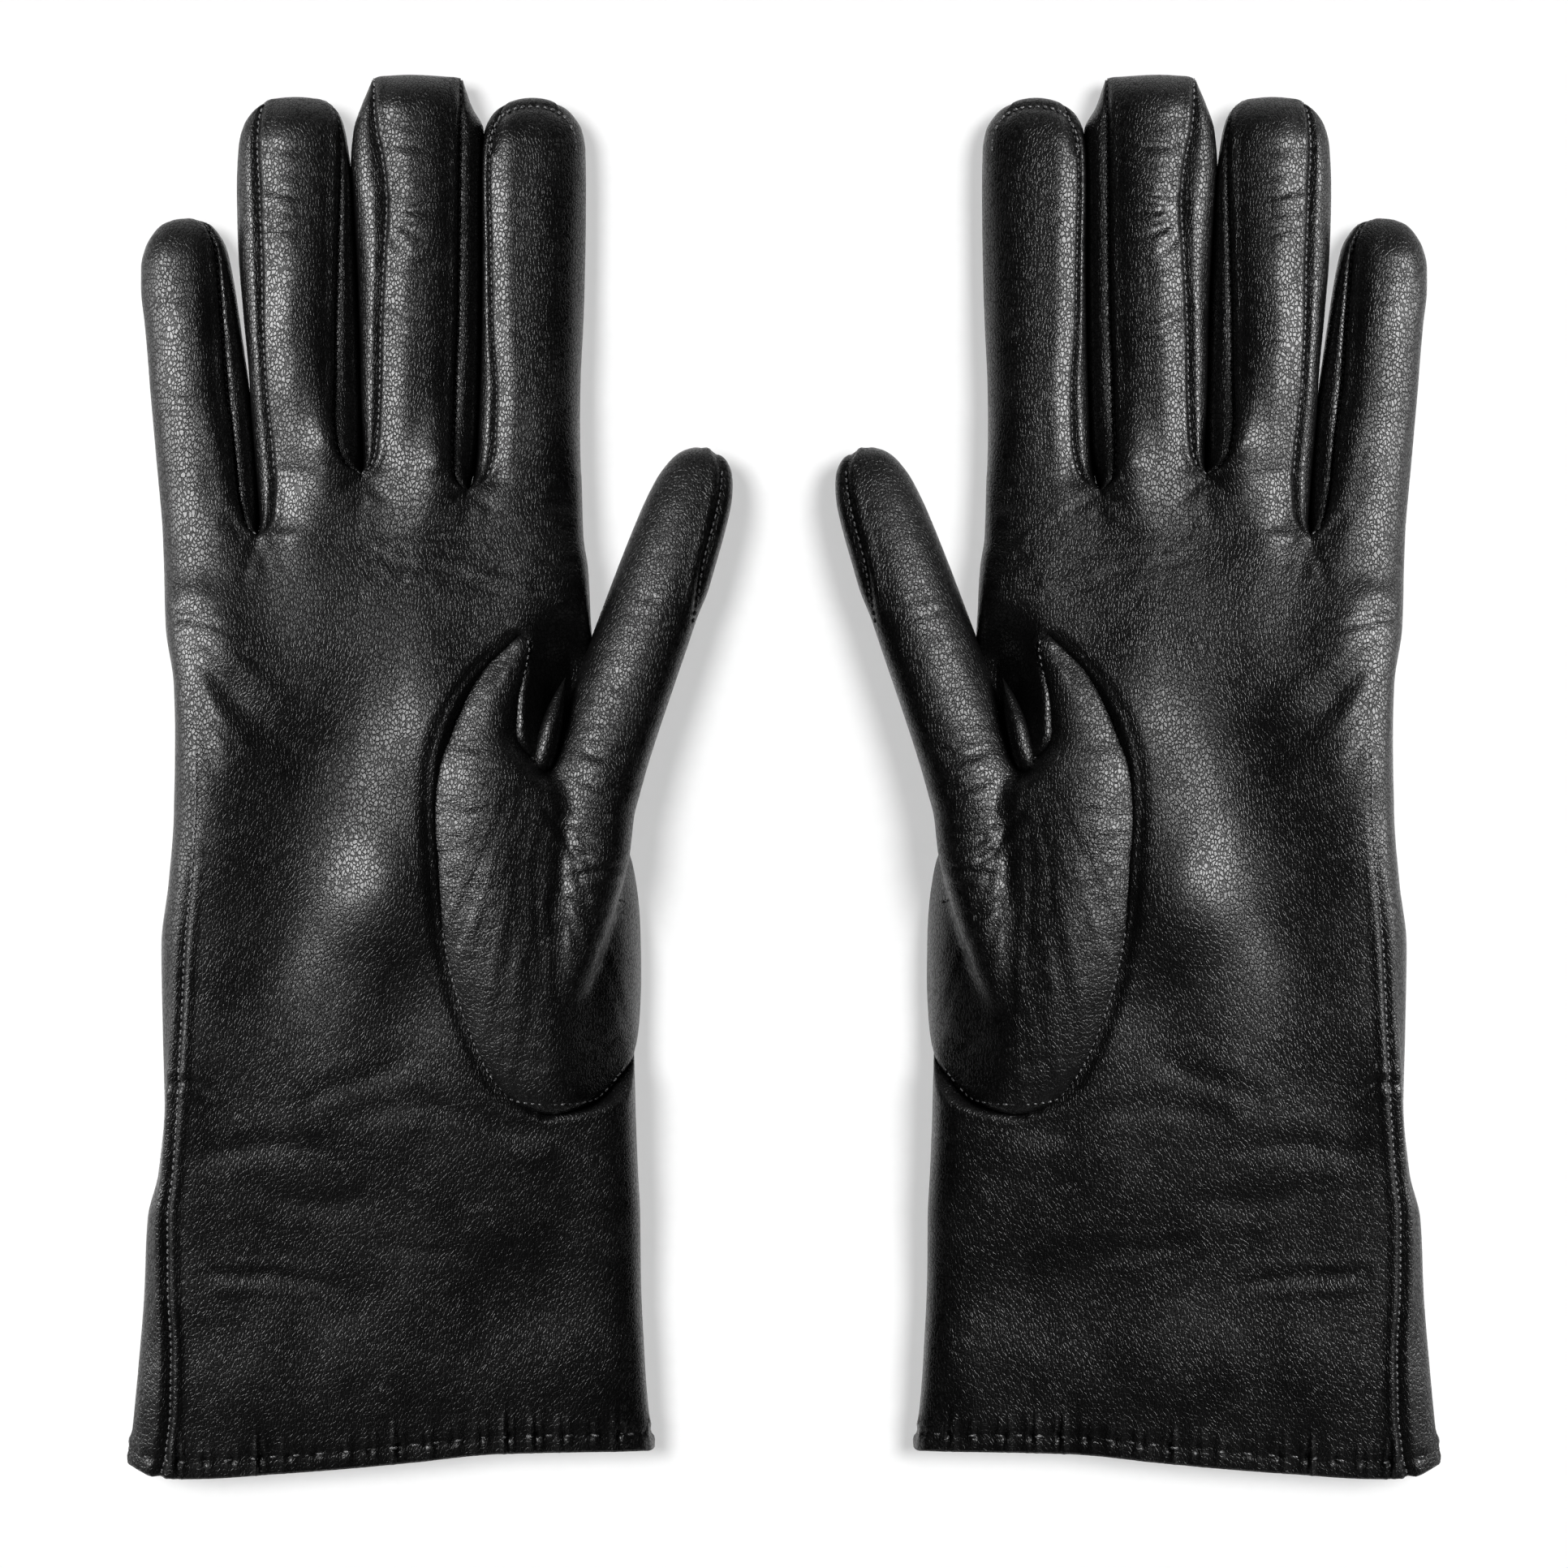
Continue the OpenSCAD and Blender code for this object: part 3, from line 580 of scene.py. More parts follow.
def tip_seam_level(px, py):
    across = np.abs(px - TIP_SEAM_CENTRE[0]) / TIP_SEAM_SIZE[0]
    up = np.maximum(py - TIP_SEAM_CENTRE[1], 0) / TIP_SEAM_SIZE[1]
    return (across**TIP_SEAM_POWER + up**TIP_SEAM_POWER) ** (1 / TIP_SEAM_POWER)


seam_offset = np.zeros(len(x))


def press_seam(ids, value):
    """Keeps the deepest groove and the highest lip that any seam gives a point."""
    np.maximum.at(seam_offset, ids[value > 0], value[value > 0])
    np.minimum.at(seam_offset, ids[value < 0], value[value < 0])


def from_column(grid, col):
    """Distance of each point of a grid from the point of its row in one column."""
    return np.linalg.norm(grid - grid[:, col:(col + 1) or None], axis=2)


for note, index in seams.items():
    ids = skin.ids[index]
    grid = skin.points[ids]
    if "_palm" in note:
        name = note.split("_")[0]
        lane = FINGERS.index(name)
        rows = grid[:, 0, 1]
        for side, col in ((-1, 0), (1, -1)):
            edge = lane + (side > 0)
            if edge == 0:
                continue
            if edge == 4:
                strength = cuff_seam_strength(rows)
            else:
                at_tip = smooth(TIP_Y[name] - 9, TIP_Y[name] - 1, rows)
                strength = smooth(-1.5, 3, rows - CROTCH_Y[edge - 1]) * (1 - 0.8 * at_tip)
            press_seam(ids, seam_profile(from_column(grid, col)) * strength[:, None])
        if note == "index_upper_palm":
            d = TIP_SEAM_SIZE[0] * (tip_seam_level(grid[..., 0], grid[..., 1]) - 1)
            press_seam(ids, 0.6 * seam_profile(d) * (grid[..., 1] > TIP_SEAM_CENTRE[1]))
    elif "_fork_" in note:
        for col in (0, -1):
            press_seam(ids, np.minimum(0.7 * seam_profile(from_column(grid, col)), 0))
    elif note == "little_root_edge_out":
        press_seam(ids, seam_profile(from_column(grid, 0)) * cuff_seam_strength(grid[:, 0, 1])[:, None])
skin.points += normal * (offset + seam_offset)[:, None]

# puckers along the sewn hem: small folds across it, drawn in at each tack
around = x + (1 - palm_side) * 37
hem_line_gap = y - (HEM_Y + track(HEM_LINE, x)[:, 0] + TACK_HEIGHT)
from_tack = (np.mod(around / TACK_PITCH + 0.5, 1) - 0.5) * TACK_PITCH
tack_no = np.floor(around / TACK_PITCH + 0.5).astype(int)
tack_way = np.random.default_rng(SEED).uniform(0.4, 1.6, (400, 2))[tack_no % 400]
beside = ((from_tack - PLEAT_GAP) / 0.5, (from_tack + PLEAT_GAP) / 0.5)
pleats = sum(np.exp(-(d**2)) * tack_way[:, k] for k, d in enumerate(beside))
pleat_reach = np.exp(-((hem_line_gap / (1.6 + 1.7 * tack_way[:, 0])) ** 2))
draw = -0.75 * np.exp(-((hem_line_gap / 0.9) ** 2) - from_tack**2) - 0.25 * np.exp(-(hem_line_gap**2))
skin.points += skin.normals() * ((PLEAT_HEIGHT * pleats * pleat_reach + draw) * (y < HEM_Y + 26))[:, None]
skin.points[:, 2] = np.maximum(skin.points[:, 2], BACK_Z * 0.4)

# ------------------------------------------------------------------ thumb and gusset
THUMB_ROOT = np.array([44.9, -6.7])
LEAN = math.radians(19.6)
ALONG = np.array([-math.sin(LEAN), math.cos(LEAN)])
ACROSS = np.array([math.cos(LEAN), math.sin(LEAN)])
# distance up the thumb, half width, thickness, centre height
THUMB = [
    [0, 12.0, 21.5, 15.2], [8, 11.4, 21.0, 14.8], [14, 11.0, 20.4, 14.2], [24, 10.7, 19.6, 13.6],
    [38, 10.5, 18.8, 12.8], [54, 10.2, 17.4, 11.8], [66, 9.7, 15.8, 11.0], [74, 8.8, 13.8, 10.4],
    [79, 7.2, 11.4, 10.1], [82, 5.2, 8.4, 10.0], [83.6, 2.6, 4.2, 10.0], [84.1, 0.6, 1.0, 10.0],
]
# the same tube below the root, sinking into the palm: x, y, half width, thickness, centre height
THUMB_HEEL = [
    [52.2, -66, 0.8, 2.0, 18.6], [51.8, -62, 3.2, 8.0, 18.6], [51.0, -54, 5.4, 12.6, 18.9],
    [49.6, -43, 8.0, 16.0, 18.6], [47.6, -30, 10.2, 19.4, 17.4], [45.8, -17, 11.8, 21.4, 15.9],
]
# gusset outline and heights: y, thumb-side x, palm-side x, thumb-side z, palm-side z, rise
GUSSET = [
    [-75.0, 50.0, 54.0, 22.4, 22.8, 0.6], [-73.9, 45.4, 58.0, 21.6, 23.0, 1.8],
    [-71.6, 40.6, 61.4, 19.0, 23.2, 2.2], [-67.9, 36.8, 64.6, 16.4, 23.4, 2.8],
    [-62, 33.2, 68.0, 11.5, 23.6, 3.4], [-54.9, 32.2, 70.9, 5.0, 23.8, 3.9],
    [-45, 31.8, 74.0, 4.5, 24.2, 4.2], [-33.5, 32.0, 76.2, 4.5, 24.4, 4.4],
    [-20.2, 33.6, 77.5, 5.0, 24.4, 4.4], [-7, 41.0, 78.2, 12.0, 24.2, 4.4],
    [1.8, 53.0, 77.8, 17.5, 23.6, 4.3], [9, 57.6, 76.1, 18.6, 22.6, 3.8],
    [16.9, 57.4, 72.6, 20.0, 22.2, 3.2], [23.9, 56.2, 67.4, 21.0, 22.0, 2.4],
    [28.5, 55.4, 62.6, 21.6, 21.8, 1.6], [31.4, 57.0, 59.4, 21.6, 21.8, 0.6],
]
GUSSET_FOOT, GUSSET_TOP = GUSSET[0][0], GUSSET[-1][0]
GUSSET_FLOOR = 13.0
GUSSET_COLS = 44
PAD_CREST = 15
PAD_FALL = 7.6
THUMB_ROLL = 0.31
GUSSET_VOXEL = 0.8
THUMB_CUTS = (3.0, 27.0)


def ring_mesh(rings):
    """Points and faces of a tube through rings of equal length, with a flat cap on each end."""
    rings = np.array(rings)
    rows, around, _ = rings.shape
    faces = tube_faces(rows, around).tolist()
    faces += [list(range(around))[::-1], list(range((rows - 1) * around, rows * around))]
    return rings.reshape(-1, 3), faces


def thumb_tube():
    """The thumb as a closed mesh, from its heel in the palm to its tip."""
    turn = full_turn(48)
    rings = []
    heel = np.array(THUMB_HEEL)
    stations = track([[i, *row] for i, row in enumerate(heel)], np.linspace(0, len(heel) - 1, 30))
    upper = np.array(THUMB)
    fine = np.concatenate([np.linspace(0, 78, 60), np.linspace(79, 84.1, 8)])
    up = track(upper, fine)
    centres = np.vstack([stations[:, :2], THUMB_ROOT + fine[:, None] * ALONG])
    sizes = np.vstack([stations[:, 2:], up])
    heading = np.gradient(centres, axis=0)
    heading /= np.linalg.norm(heading, axis=1)[:, None]
    for c, (half, thick, cz), h in zip(centres, sizes, heading):
        across = np.array([h[1], -h[0]])
        a = np.sign(np.cos(turn)) * np.abs(np.cos(turn)) ** 0.9 * half
        b = np.sign(np.sin(turn)) * np.abs(np.sin(turn)) ** 0.9 * thick / 2
        roll = THUMB_ROLL * a * smooth(-70, -20, c[1])
        rings.append(np.column_stack([c[0] + a * across[0], c[1] + a * across[1], cz + b - roll]))
    return ring_mesh(rings)


def rounded(distance, radius):
    """How far a rounded edge falls, 1 to 0, at a distance in from it."""
    return 1 - np.sqrt(np.clip(1 - np.clip(1 - distance / radius, 0, 1) ** 2, 0, 1))


def gusset_pillow():
    """The gusset's pad as a closed mesh: its top follows the heights above, and each row is flat below."""
    rows = [np.linspace(GUSSET_FOOT, -60, 22), np.linspace(-59, 24, 70), np.linspace(25, GUSSET_TOP, 10)]
    rows = np.concatenate(rows)
    table = track(GUSSET, rows)
    rings = []
    for yy, (xi, xo, zi, zo, rise) in zip(rows, table):
        u = (1 - np.cos(np.linspace(0, math.pi, GUSSET_COLS))) / 2
        xs = xi + (xo - xi) * u
        # height of the pad away from its edges: highest near the palm-side rim
        low_side = smooth(33, 53, xs)
        crown = 0.25 + 0.75 * np.exp(-(((xs - (xo - PAD_CREST)) / 13) ** 2))
        pad = zo + rise * crown - (1 - low_side) * PAD_FALL * smooth(-77, -66, yy)
        r_in, r_out = min(7.0, 0.45 * (xo - xi)), min(2.2, 0.45 * (xo - xi))
        pad = pad - 2.4 * np.clip(1 - (xo - xs) / min(8.0, 0.6 * (xo - xi)), 0, 1) ** 2
        fall_in, fall_out = rounded(xs - xi, r_in), rounded(xo - xs, r_out)
        zs = pad - (pad - zi) * fall_in - np.maximum(pad - (zo - 0.6), 0) * fall_out
        floor = np.minimum(GUSSET_FLOOR, zi - 3)
        upper = np.column_stack([xs, np.full(GUSSET_COLS, yy), zs])
        rings.append(np.vstack([upper, upper[::-1] * (1, 1, 0) + (0, 0, max(floor, 2.0))]))
    return ring_mesh(rings)


def remeshed(parts, voxel, relax):
    """One skin around overlapping closed meshes, relaxed so that they run softly into each other."""
    points, quads = [], []
    for part_points, part_quads in parts:
        at = len(points)
        points += [tuple(map(float, p)) for p in part_points]
        quads += [[at + i for i in quad] for quad in part_quads]
    mesh = bpy.data.meshes.new("union")
    mesh.from_pydata(points, [], quads)
    mesh.update()
    holder = bpy.data.objects.new("union", mesh)
    bpy.context.scene.collection.objects.link(holder)
    mod = holder.modifiers.new("voxels", "REMESH")
    mod.mode, mod.voxel_size, mod.adaptivity = "VOXEL", voxel, 0
    done = bpy.data.meshes.new_from_object(holder.evaluated_get(bpy.context.evaluated_depsgraph_get()))
    co = np.zeros(len(done.vertices) * 3)
    done.vertices.foreach_get("co", co)
    faces = [list(p.vertices) for p in done.polygons]
    bpy.data.objects.remove(holder)
    bpy.data.meshes.remove(done)
    co = co.reshape(-1, 3)
    quads = np.array([f if len(f) == 4 else f + f[-1:] for f in faces])
    pairs = np.concatenate([quads[:, [0, 1]], quads[:, [1, 2]], quads[:, [2, 3]], quads[:, [3, 0]]])
    pairs = np.unique(np.sort(pairs[pairs[:, 0] != pairs[:, 1]], 1), axis=0)
    near = np.zeros(len(co))
    np.add.at(near, pairs[:, 0], 1)
    np.add.at(near, pairs[:, 1], 1)
    for weight in [0.5, -0.48] * relax + [0.5] * 5:
        total = np.zeros_like(co)
        np.add.at(total, pairs[:, 0], co[pairs[:, 1]])
        np.add.at(total, pairs[:, 1], co[pairs[:, 0]])
        co = co + weight * (total / near[:, None] - co)
    return co, quads


thumb_points, thumb_quads = remeshed([thumb_tube(), gusset_pillow()], GUSSET_VOXEL, 16)


def thumb_place(points):
    """Distance up the thumb and across it."""
    rel = points[:, :2] - THUMB_ROOT
    return rel @ ALONG, rel @ ACROSS


CROTCH = np.array([55.2, -3.0])
# the quirk's line: place along it, x, y, z, half width
QUIRK = [
    [0, 48.4, 21.5, 16.6, 0.1], [0.2, 50.0, 16.5, 18.2, 1.5], [0.45, 51.5, 10.5, 19.2, 2.5],
    [0.7, 52.9, 4.5, 19.6, 2.7], [0.88, 54.2, -0.2, 19.4, 1.8], [1, 55.2, -3.0, 18.8, 0.3],
]
fan = []
for k in range(13):
    angle = math.radians(-107 + 3.3 * k + 1.6 * math.sin(2.3 * k))
    reach = 44 + 16 * math.cos(1.7 * k)
    way = np.array([math.cos(angle), math.sin(angle)])
    start = CROTCH + way * (2.0 + 5.0 * (k % 3)) + np.array([0.7 * (k - 6), 0])
    bend = np.array([-way[1], way[0]]) * (1.8 * math.sin(1.3 * k))
    depth = 0.13 - 0.03 * (k % 3 == 1)
    fan.append((depth, 0.8, start, start + way * reach * 0.5 + bend, start + way * reach))
THUMB_FOLDS = fan + [
    (0.45, 0.9, (47, -22.5), (41, -21.4), (34, -20)), (0.35, 0.9, (52, -9), (46, -17), (41, -20.5)),
    (0.4, 4.2, (55.5, -6), (55.4, -28), (54.4, -50), (54, -68)),
    (0.3, 0.9, (53.5, -7), (48, -12), (41, -15.5)), (0.3, 0.9, (44, 4.8), (38, 3.4), (31.5, 6.8)),
    (0.3, 0.9, (45, -1), (39, -3.4), (32, -2)), (0.25, 0.9, (46, -8), (40, -9.4), (33, -8)),
    (0.45, 0.9, (47, -28), (43, -31), (39, -31)), (0.4, 0.9, (60, 27), (62.5, 23.5), (64, 19.5)),
    (0.35, 0.8, (62.5, 26), (64.5, 23), (66, 20)), (0.08, 0.9, (40, 20), (33, 18.6), (26, 20)),
    (0.07, 0.9, (35, 36), (28, 34.4), (20, 35.6)), (0.07, 0.9, (34, 40), (27, 38.2), (20, 39)),
    (0.12, 1.4, (62, -62), (55, -64), (48, -63)), (0.35, 1.2, (44, -58), (40, -60), (36, -58)),
]
tx, ty = thumb_points[:, 0].copy(), thumb_points[:, 1].copy()
thumb_normals = point_normals(thumb_points, thumb_quads)
up_side = smooth(0.0, 0.6, thumb_normals[:, 2])
far, side = thumb_place(thumb_points)
in_streaks = np.exp(-(((tx - 57 + 0.1 * (ty + 30)) / 9) ** 2)) * (ty < 0)
streak = noise(tx * 0.97 + ty * 0.2, ty, (2.1, 15), 31) * in_streaks
thumb_amount = np.clip(0.35 + 0.6 * np.exp(-(((ty + 12) / 16) ** 2)), 0, 1)
fine = 0.12 * thumb_amount * noise(tx + 2 * noise(tx, ty, (7, 7), 33), ty, (5, 1.8), 32)
slow = (0.12 + 0.18 * smooth(5, -20, far)) * noise(tx, ty, (12, 17), 30)
thumb_relief = up_side * (slow + 0.14 * streak + fine + fold_field(tx, ty, THUMB_FOLDS))
thumb_points += thumb_normals * thumb_relief[:, None]

# a seam runs from the thumb's tip down its outer side
THUMB_SEAM = [[0, -10.4], [45, -9.8], [60, -7.5], [72, -6.4], [80, -4.6], [84.2, -1.0]]
far, side = thumb_place(thumb_points)
seam_d = np.abs(side - track(THUMB_SEAM, far)[:, 0])
on_seam = (thumb_points[:, 2] > 10) * smooth(44, 54, far)
thumb_points += point_normals(thumb_points, thumb_quads) * (0.8 * seam_profile(seam_d) * on_seam)[:, None]
thumb_normals = point_normals(thumb_points, thumb_quads)


def outline_gap(px, py):
    """Distance in from the gusset's outline across x: negative outside."""
    table = track(GUSSET, py)
    gap = np.minimum(px - table[:, 0], table[:, 1] - px)
    return np.where((py < GUSSET_FOOT) | (py > GUSSET_TOP), -1, gap)


# the trank is open under the gusset, and dips to meet it in a groove
px, py, pz = skin.points.T
gap = outline_gap(px, py)
table = track(GUSSET, py)
on_palm = (py > GUSSET_FOOT) & (py < GUSSET_TOP) & (pz > 12)
dip = 0.9 * np.exp(-((np.abs(px - table[:, 1]) / 1.6) ** 2)) * on_palm
dip = np.maximum(dip, np.where(gap > 0, np.minimum(gap, 3.0), 0) * (pz > 12))
skin.points[:, 2] -= dip
# low down on the thumb side it turns down to the gusset's drooping rim
corner = (py < -30) & (py > GUSSET_FOOT - 1) & (px < 54) & (pz > 5)
below = np.maximum(GUSSET_FOOT - py, 0)
meets = smooth(-7, 0.5, px - table[:, 0] - 3 * below) * corner
rim = table[:, 2] - 0.5
skin.points[:, 2] += meets * (np.minimum(pz, rim) - pz)

# ------------------------------------------------------------------ materials
def node_maker(mat):
    tree = mat.node_tree

    def make(kind, inputs=None, **settings):
        node = tree.nodes.new(kind)
        for key, value in settings.items():
            setattr(node, key, value)
        for key, value in (inputs or {}).items():
            if isinstance(value, bpy.types.NodeSocket):
                tree.links.new(value, node.inputs[key])
            else:
                node.inputs[key].default_value = value
        return node

    return make


def new_material(name):
    """An empty material, its node maker, and the place at rest that its patterns are drawn in."""
    mat = bpy.data.materials.new(name)
    mat.use_nodes = True
    mat.node_tree.nodes.clear()
    make = node_maker(mat)
    return mat, make, make("ShaderNodeAttribute", attribute_name="rest").outputs["Vector"]


def multiply_add(make, a, b, c):
    return make("ShaderNodeMath", {0: a, 1: b, 2: c}, operation="MULTIPLY_ADD").outputs[0]


def grey(level, red=1.0, green=1.0, blue=1.0):
    return (level * red, level * green, level * blue, 1)


GRAIN_RELIEF = 0.065
GRAIN_WARP = 0.0011


def leather(name, tone, rough, grain, grain_mm):
    """Black glove leather: pebbled grain, finer pores, patches of polish and dry creases."""
    mat, make, rest = new_material(name)
    crease = make("ShaderNodeAttribute", attribute_name="crease").outputs["Fac"]
    per_m = 1000 / grain_mm
    warp = make("ShaderNodeTexNoise", {"Vector": rest, "Scale": per_m * 0.35, "Detail": 2.0})
    shift = make("ShaderNodeVectorMath", {0: warp.outputs["Color"], 1: (0.5, 0.5, 0.5)}, operation="SUBTRACT")
    shift = make("ShaderNodeVectorMath", {0: shift.outputs[0], "Scale": GRAIN_WARP}, operation="SCALE")
    place = make("ShaderNodeVectorMath", {0: rest, 1: shift.outputs[0]}, operation="ADD").outputs[0]
    stretch = make("ShaderNodeVectorMath", {0: place, 1: (1.28, 0.78, 1.0)}, operation="MULTIPLY").outputs[0]
    cells = make("ShaderNodeTexVoronoi", {"Vector": stretch, "Scale": per_m}, feature="DISTANCE_TO_EDGE")
    pebble = make(
        "ShaderNodeMapRange", {"Value": cells.outputs["Distance"], "From Max": 0.2},
        interpolation_type="SMOOTHERSTEP").outputs[0]
    small = make("ShaderNodeTexVoronoi", {"Vector": place, "Scale": per_m * 2.3}, feature="SMOOTH_F1")
    pores = make("ShaderNodeTexNoise", {"Vector": rest, "Scale": per_m * 4.0, "Detail": 3.0})
    patch = make("ShaderNodeTexNoise", {"Vector": rest, "Scale": 55.0, "Detail": 3.0, "Roughness": 0.55})
    patch = patch.outputs["Fac"]
    # long dry creases, only where the leather is used to folding
    lines = make("ShaderNodeVectorMath", {0: rest, 1: (260.0, 900.0, 500.0)}, operation="MULTIPLY").outputs[0]
    crack = make("ShaderNodeTexNoise", {"Vector": lines, "Scale": 1.0, "Detail": 3.0, "Distortion": 1.2})
    crack = make("ShaderNodeMath", {0: crack.outputs["Fac"], 1: crease}, operation="MULTIPLY").outputs[0]
    amount = make("ShaderNodeMapRange", {
        "Value": patch, "From Min": 0.3, "From Max": 0.7, "To Min": 0.55, "To Max": 1.0}).outputs[0]
    level = make("ShaderNodeMath", {0: pebble, 1: amount}, operation="MULTIPLY").outputs[0]
    level = multiply_add(make, small.outputs["Distance"], -0.35, level)
    level = multiply_add(make, pores.outputs["Fac"], 0.22, level)
    level = multiply_add(make, crack, 3.0, level)
    bump = make("ShaderNodeBump", {"Height": level, "Strength": grain, "Distance": GRAIN_RELIEF * MM})
    # painted shade: the grain's valleys are painted darker; the worn patches are a little lighter
    colour = make("ShaderNodeMixRGB", {
        "Fac": pebble, "Color1": grey(tone, 0.35, 0.35, 0.38), "Color2": grey(tone, blue=1.05)}).outputs[0]
    worn = make("ShaderNodeMixRGB", {
        "Fac": patch, "Color1": colour, "Color2": grey(tone, 1.7, 1.65, 1.65)}).outputs[0]
    polish = make("ShaderNodeMapRange", {
        "Value": patch, "From Min": 0.32, "From Max": 0.68, "To Min": rough + 0.08, "To Max": rough + 0.2})
    dull = multiply_add(make, pebble, -0.12, polish.outputs[0])
    # painted shade: the grain's valleys reflect less than the tops of its pebbles
    valley_shade_specular = make("ShaderNodeMapRange", {"Value": pebble, "To Min": 0.2, "To Max": 0.55}).outputs[0]
    shader = make("ShaderNodeBsdfPrincipled", {
        "Base Color": worn, "Roughness": dull, "Normal": bump.outputs[0],
        "IOR": 1.5, "Specular IOR Level": valley_shade_specular})
    make("ShaderNodeOutputMaterial", {"Surface": shader.outputs[0]})
    return mat


def thread_material():
    mat, make, rest = new_material("sewing_thread")
    twist = make(
        "ShaderNodeTexWave", {"Vector": rest, "Scale": 900.0, "Distortion": 1.0},
        bands_direction="DIAGONAL").outputs["Fac"]
    bump = make("ShaderNodeBump", {"Height": twist, "Strength": 0.6, "Distance": 0.1 * MM}).outputs[0]
    # painted sheen: the black thread is painted lighter in bands along its twist
    colour = make("ShaderNodeMixRGB", {
        "Fac": twist, "Color1": (0.012, 0.012, 0.013, 1), "Color2": (0.17, 0.17, 0.172, 1)}).outputs[0]
    shader = make("ShaderNodeBsdfPrincipled", {
        "Base Color": colour, "Roughness": 0.36, "Normal": bump, "Sheen Weight": 0.2})
    make("ShaderNodeOutputMaterial", {"Surface": shader.outputs[0]})
    return mat


def knit_material():
    mat, make, rest = new_material("knit_lining")
    wale = make("ShaderNodeTexWave", {"Vector": rest, "Scale": 260.0, "Distortion": 0.6}, bands_direction="X")
    course = make(
        "ShaderNodeTexWave", {"Vector": rest, "Scale": 330.0, "Distortion": 0.8}, bands_direction="Y")
    knit = make(
        "ShaderNodeMath", {0: wale.outputs["Fac"], 1: course.outputs["Fac"]}, operation="MULTIPLY").outputs[0]
    fuzz = make("ShaderNodeTexNoise", {"Vector": rest, "Scale": 2200.0, "Detail": 3.0})
    height = multiply_add(make, fuzz.outputs["Fac"], 0.4, knit)
    bump = make("ShaderNodeBump", {"Height": height, "Strength": 0.8, "Distance": 0.5 * MM}).outputs[0]
    colour = make("ShaderNodeMixRGB", {
        "Fac": knit, "Color1": (0.012, 0.012, 0.014, 1), "Color2": (0.20, 0.20, 0.21, 1)}).outputs[0]
    shader = make("ShaderNodeBsdfPrincipled", {
        "Base Color": colour, "Roughness": 0.95, "Normal": bump, "Sheen Weight": 0.5, "Sheen Roughness": 0.6})
    make("ShaderNodeOutputMaterial", {"Surface": shader.outputs[0]})
    return mat


MATERIALS = {
    "leather": leather("glove_leather", 0.0025, 0.28, 1.0, 0.86),
    "fourchette_leather": leather("fourchette_leather", 0.0025, 0.28, 1.0, 0.82),
    "hem_leather": leather("hem_leather", 0.014, 0.50, 0.7, 0.85),
    "thread": thread_material(),
    "lining": knit_material(),
}


# ------------------------------------------------------------------ making pieces
sets = {hand: bpy.data.collections.new(hand + "_glove") for hand in HANDS}
for group in sets.values():
    bpy.context.scene.collection.children.link(group)


def make_piece(name, hand, points, faces, slot, normals=None, crease=None):
    """A mesh piece of one glove, from the left-hand glove's points in millimetres."""
    sign = HANDS[hand]
    scale = np.array([sign, 1, 1]) * MM
    co = np.asarray(points, float) * scale
    faces = np.asarray(faces)
    if sign < 0:
        faces = faces[:, ::-1]
    mesh = bpy.data.meshes.new(f"{hand}_{name}")
    size = faces.shape[1]
    keep = np.ones(len(faces), bool)
    for k in range(size):
        keep &= faces[:, k] != faces[:, (k + 1) % size]
    whole, broken = faces[keep], faces[~keep]
    mended = [list(dict.fromkeys(map(int, f))) for f in broken]
    mended = [f for f in mended if len(f) > 2]
    loops = np.concatenate([whole.ravel(), np.array([i for f in mended for i in f], int)])
    sizes = np.concatenate([np.full(len(whole), size), np.array([len(f) for f in mended], int)])
    mesh.vertices.add(len(co))
    mesh.vertices.foreach_set("co", co.astype(np.float32).ravel())
    mesh.loops.add(len(loops))
    mesh.loops.foreach_set("vertex_index", loops.astype(np.int32))
    mesh.polygons.add(len(sizes))
    mesh.polygons.foreach_set("loop_start", (np.cumsum(sizes) - sizes).astype(np.int32))
    mesh.polygons.foreach_set("use_smooth", np.ones(len(sizes), bool))
    mesh.update(calc_edges=True)
    mesh.validate()
    rest = mesh.attributes.new("rest", "FLOAT_VECTOR", "POINT")
    rest.data.foreach_set("vector", co.astype(np.float32).ravel())
    worn = mesh.attributes.new("crease", "FLOAT", "POINT")
    worn.data.foreach_set("value", (np.zeros(len(co)) if crease is None else crease).astype(np.float32))
    if normals is not None:
        mesh.normals_split_custom_set_from_vertices([tuple(n) for n in normals * np.array([sign, 1, 1])])
    mesh.materials.append(MATERIALS[slot])
    obj = bpy.data.objects.new(f"{hand}_{name}", mesh)
    sets[hand].objects.link(obj)
    return obj


def finger_blend(obj):
    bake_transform(obj)


def thumb_blend(obj):
    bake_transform(obj)


# a stitch's rings: place along it, thickness and height
STITCH_RINGS = [(-0.5, 0.25, -0.9), (-0.3, 0.95, 0.05), (0.3, 0.95, 0.05), (0.5, 0.25, -0.9)]
STITCH_SIDES = 6


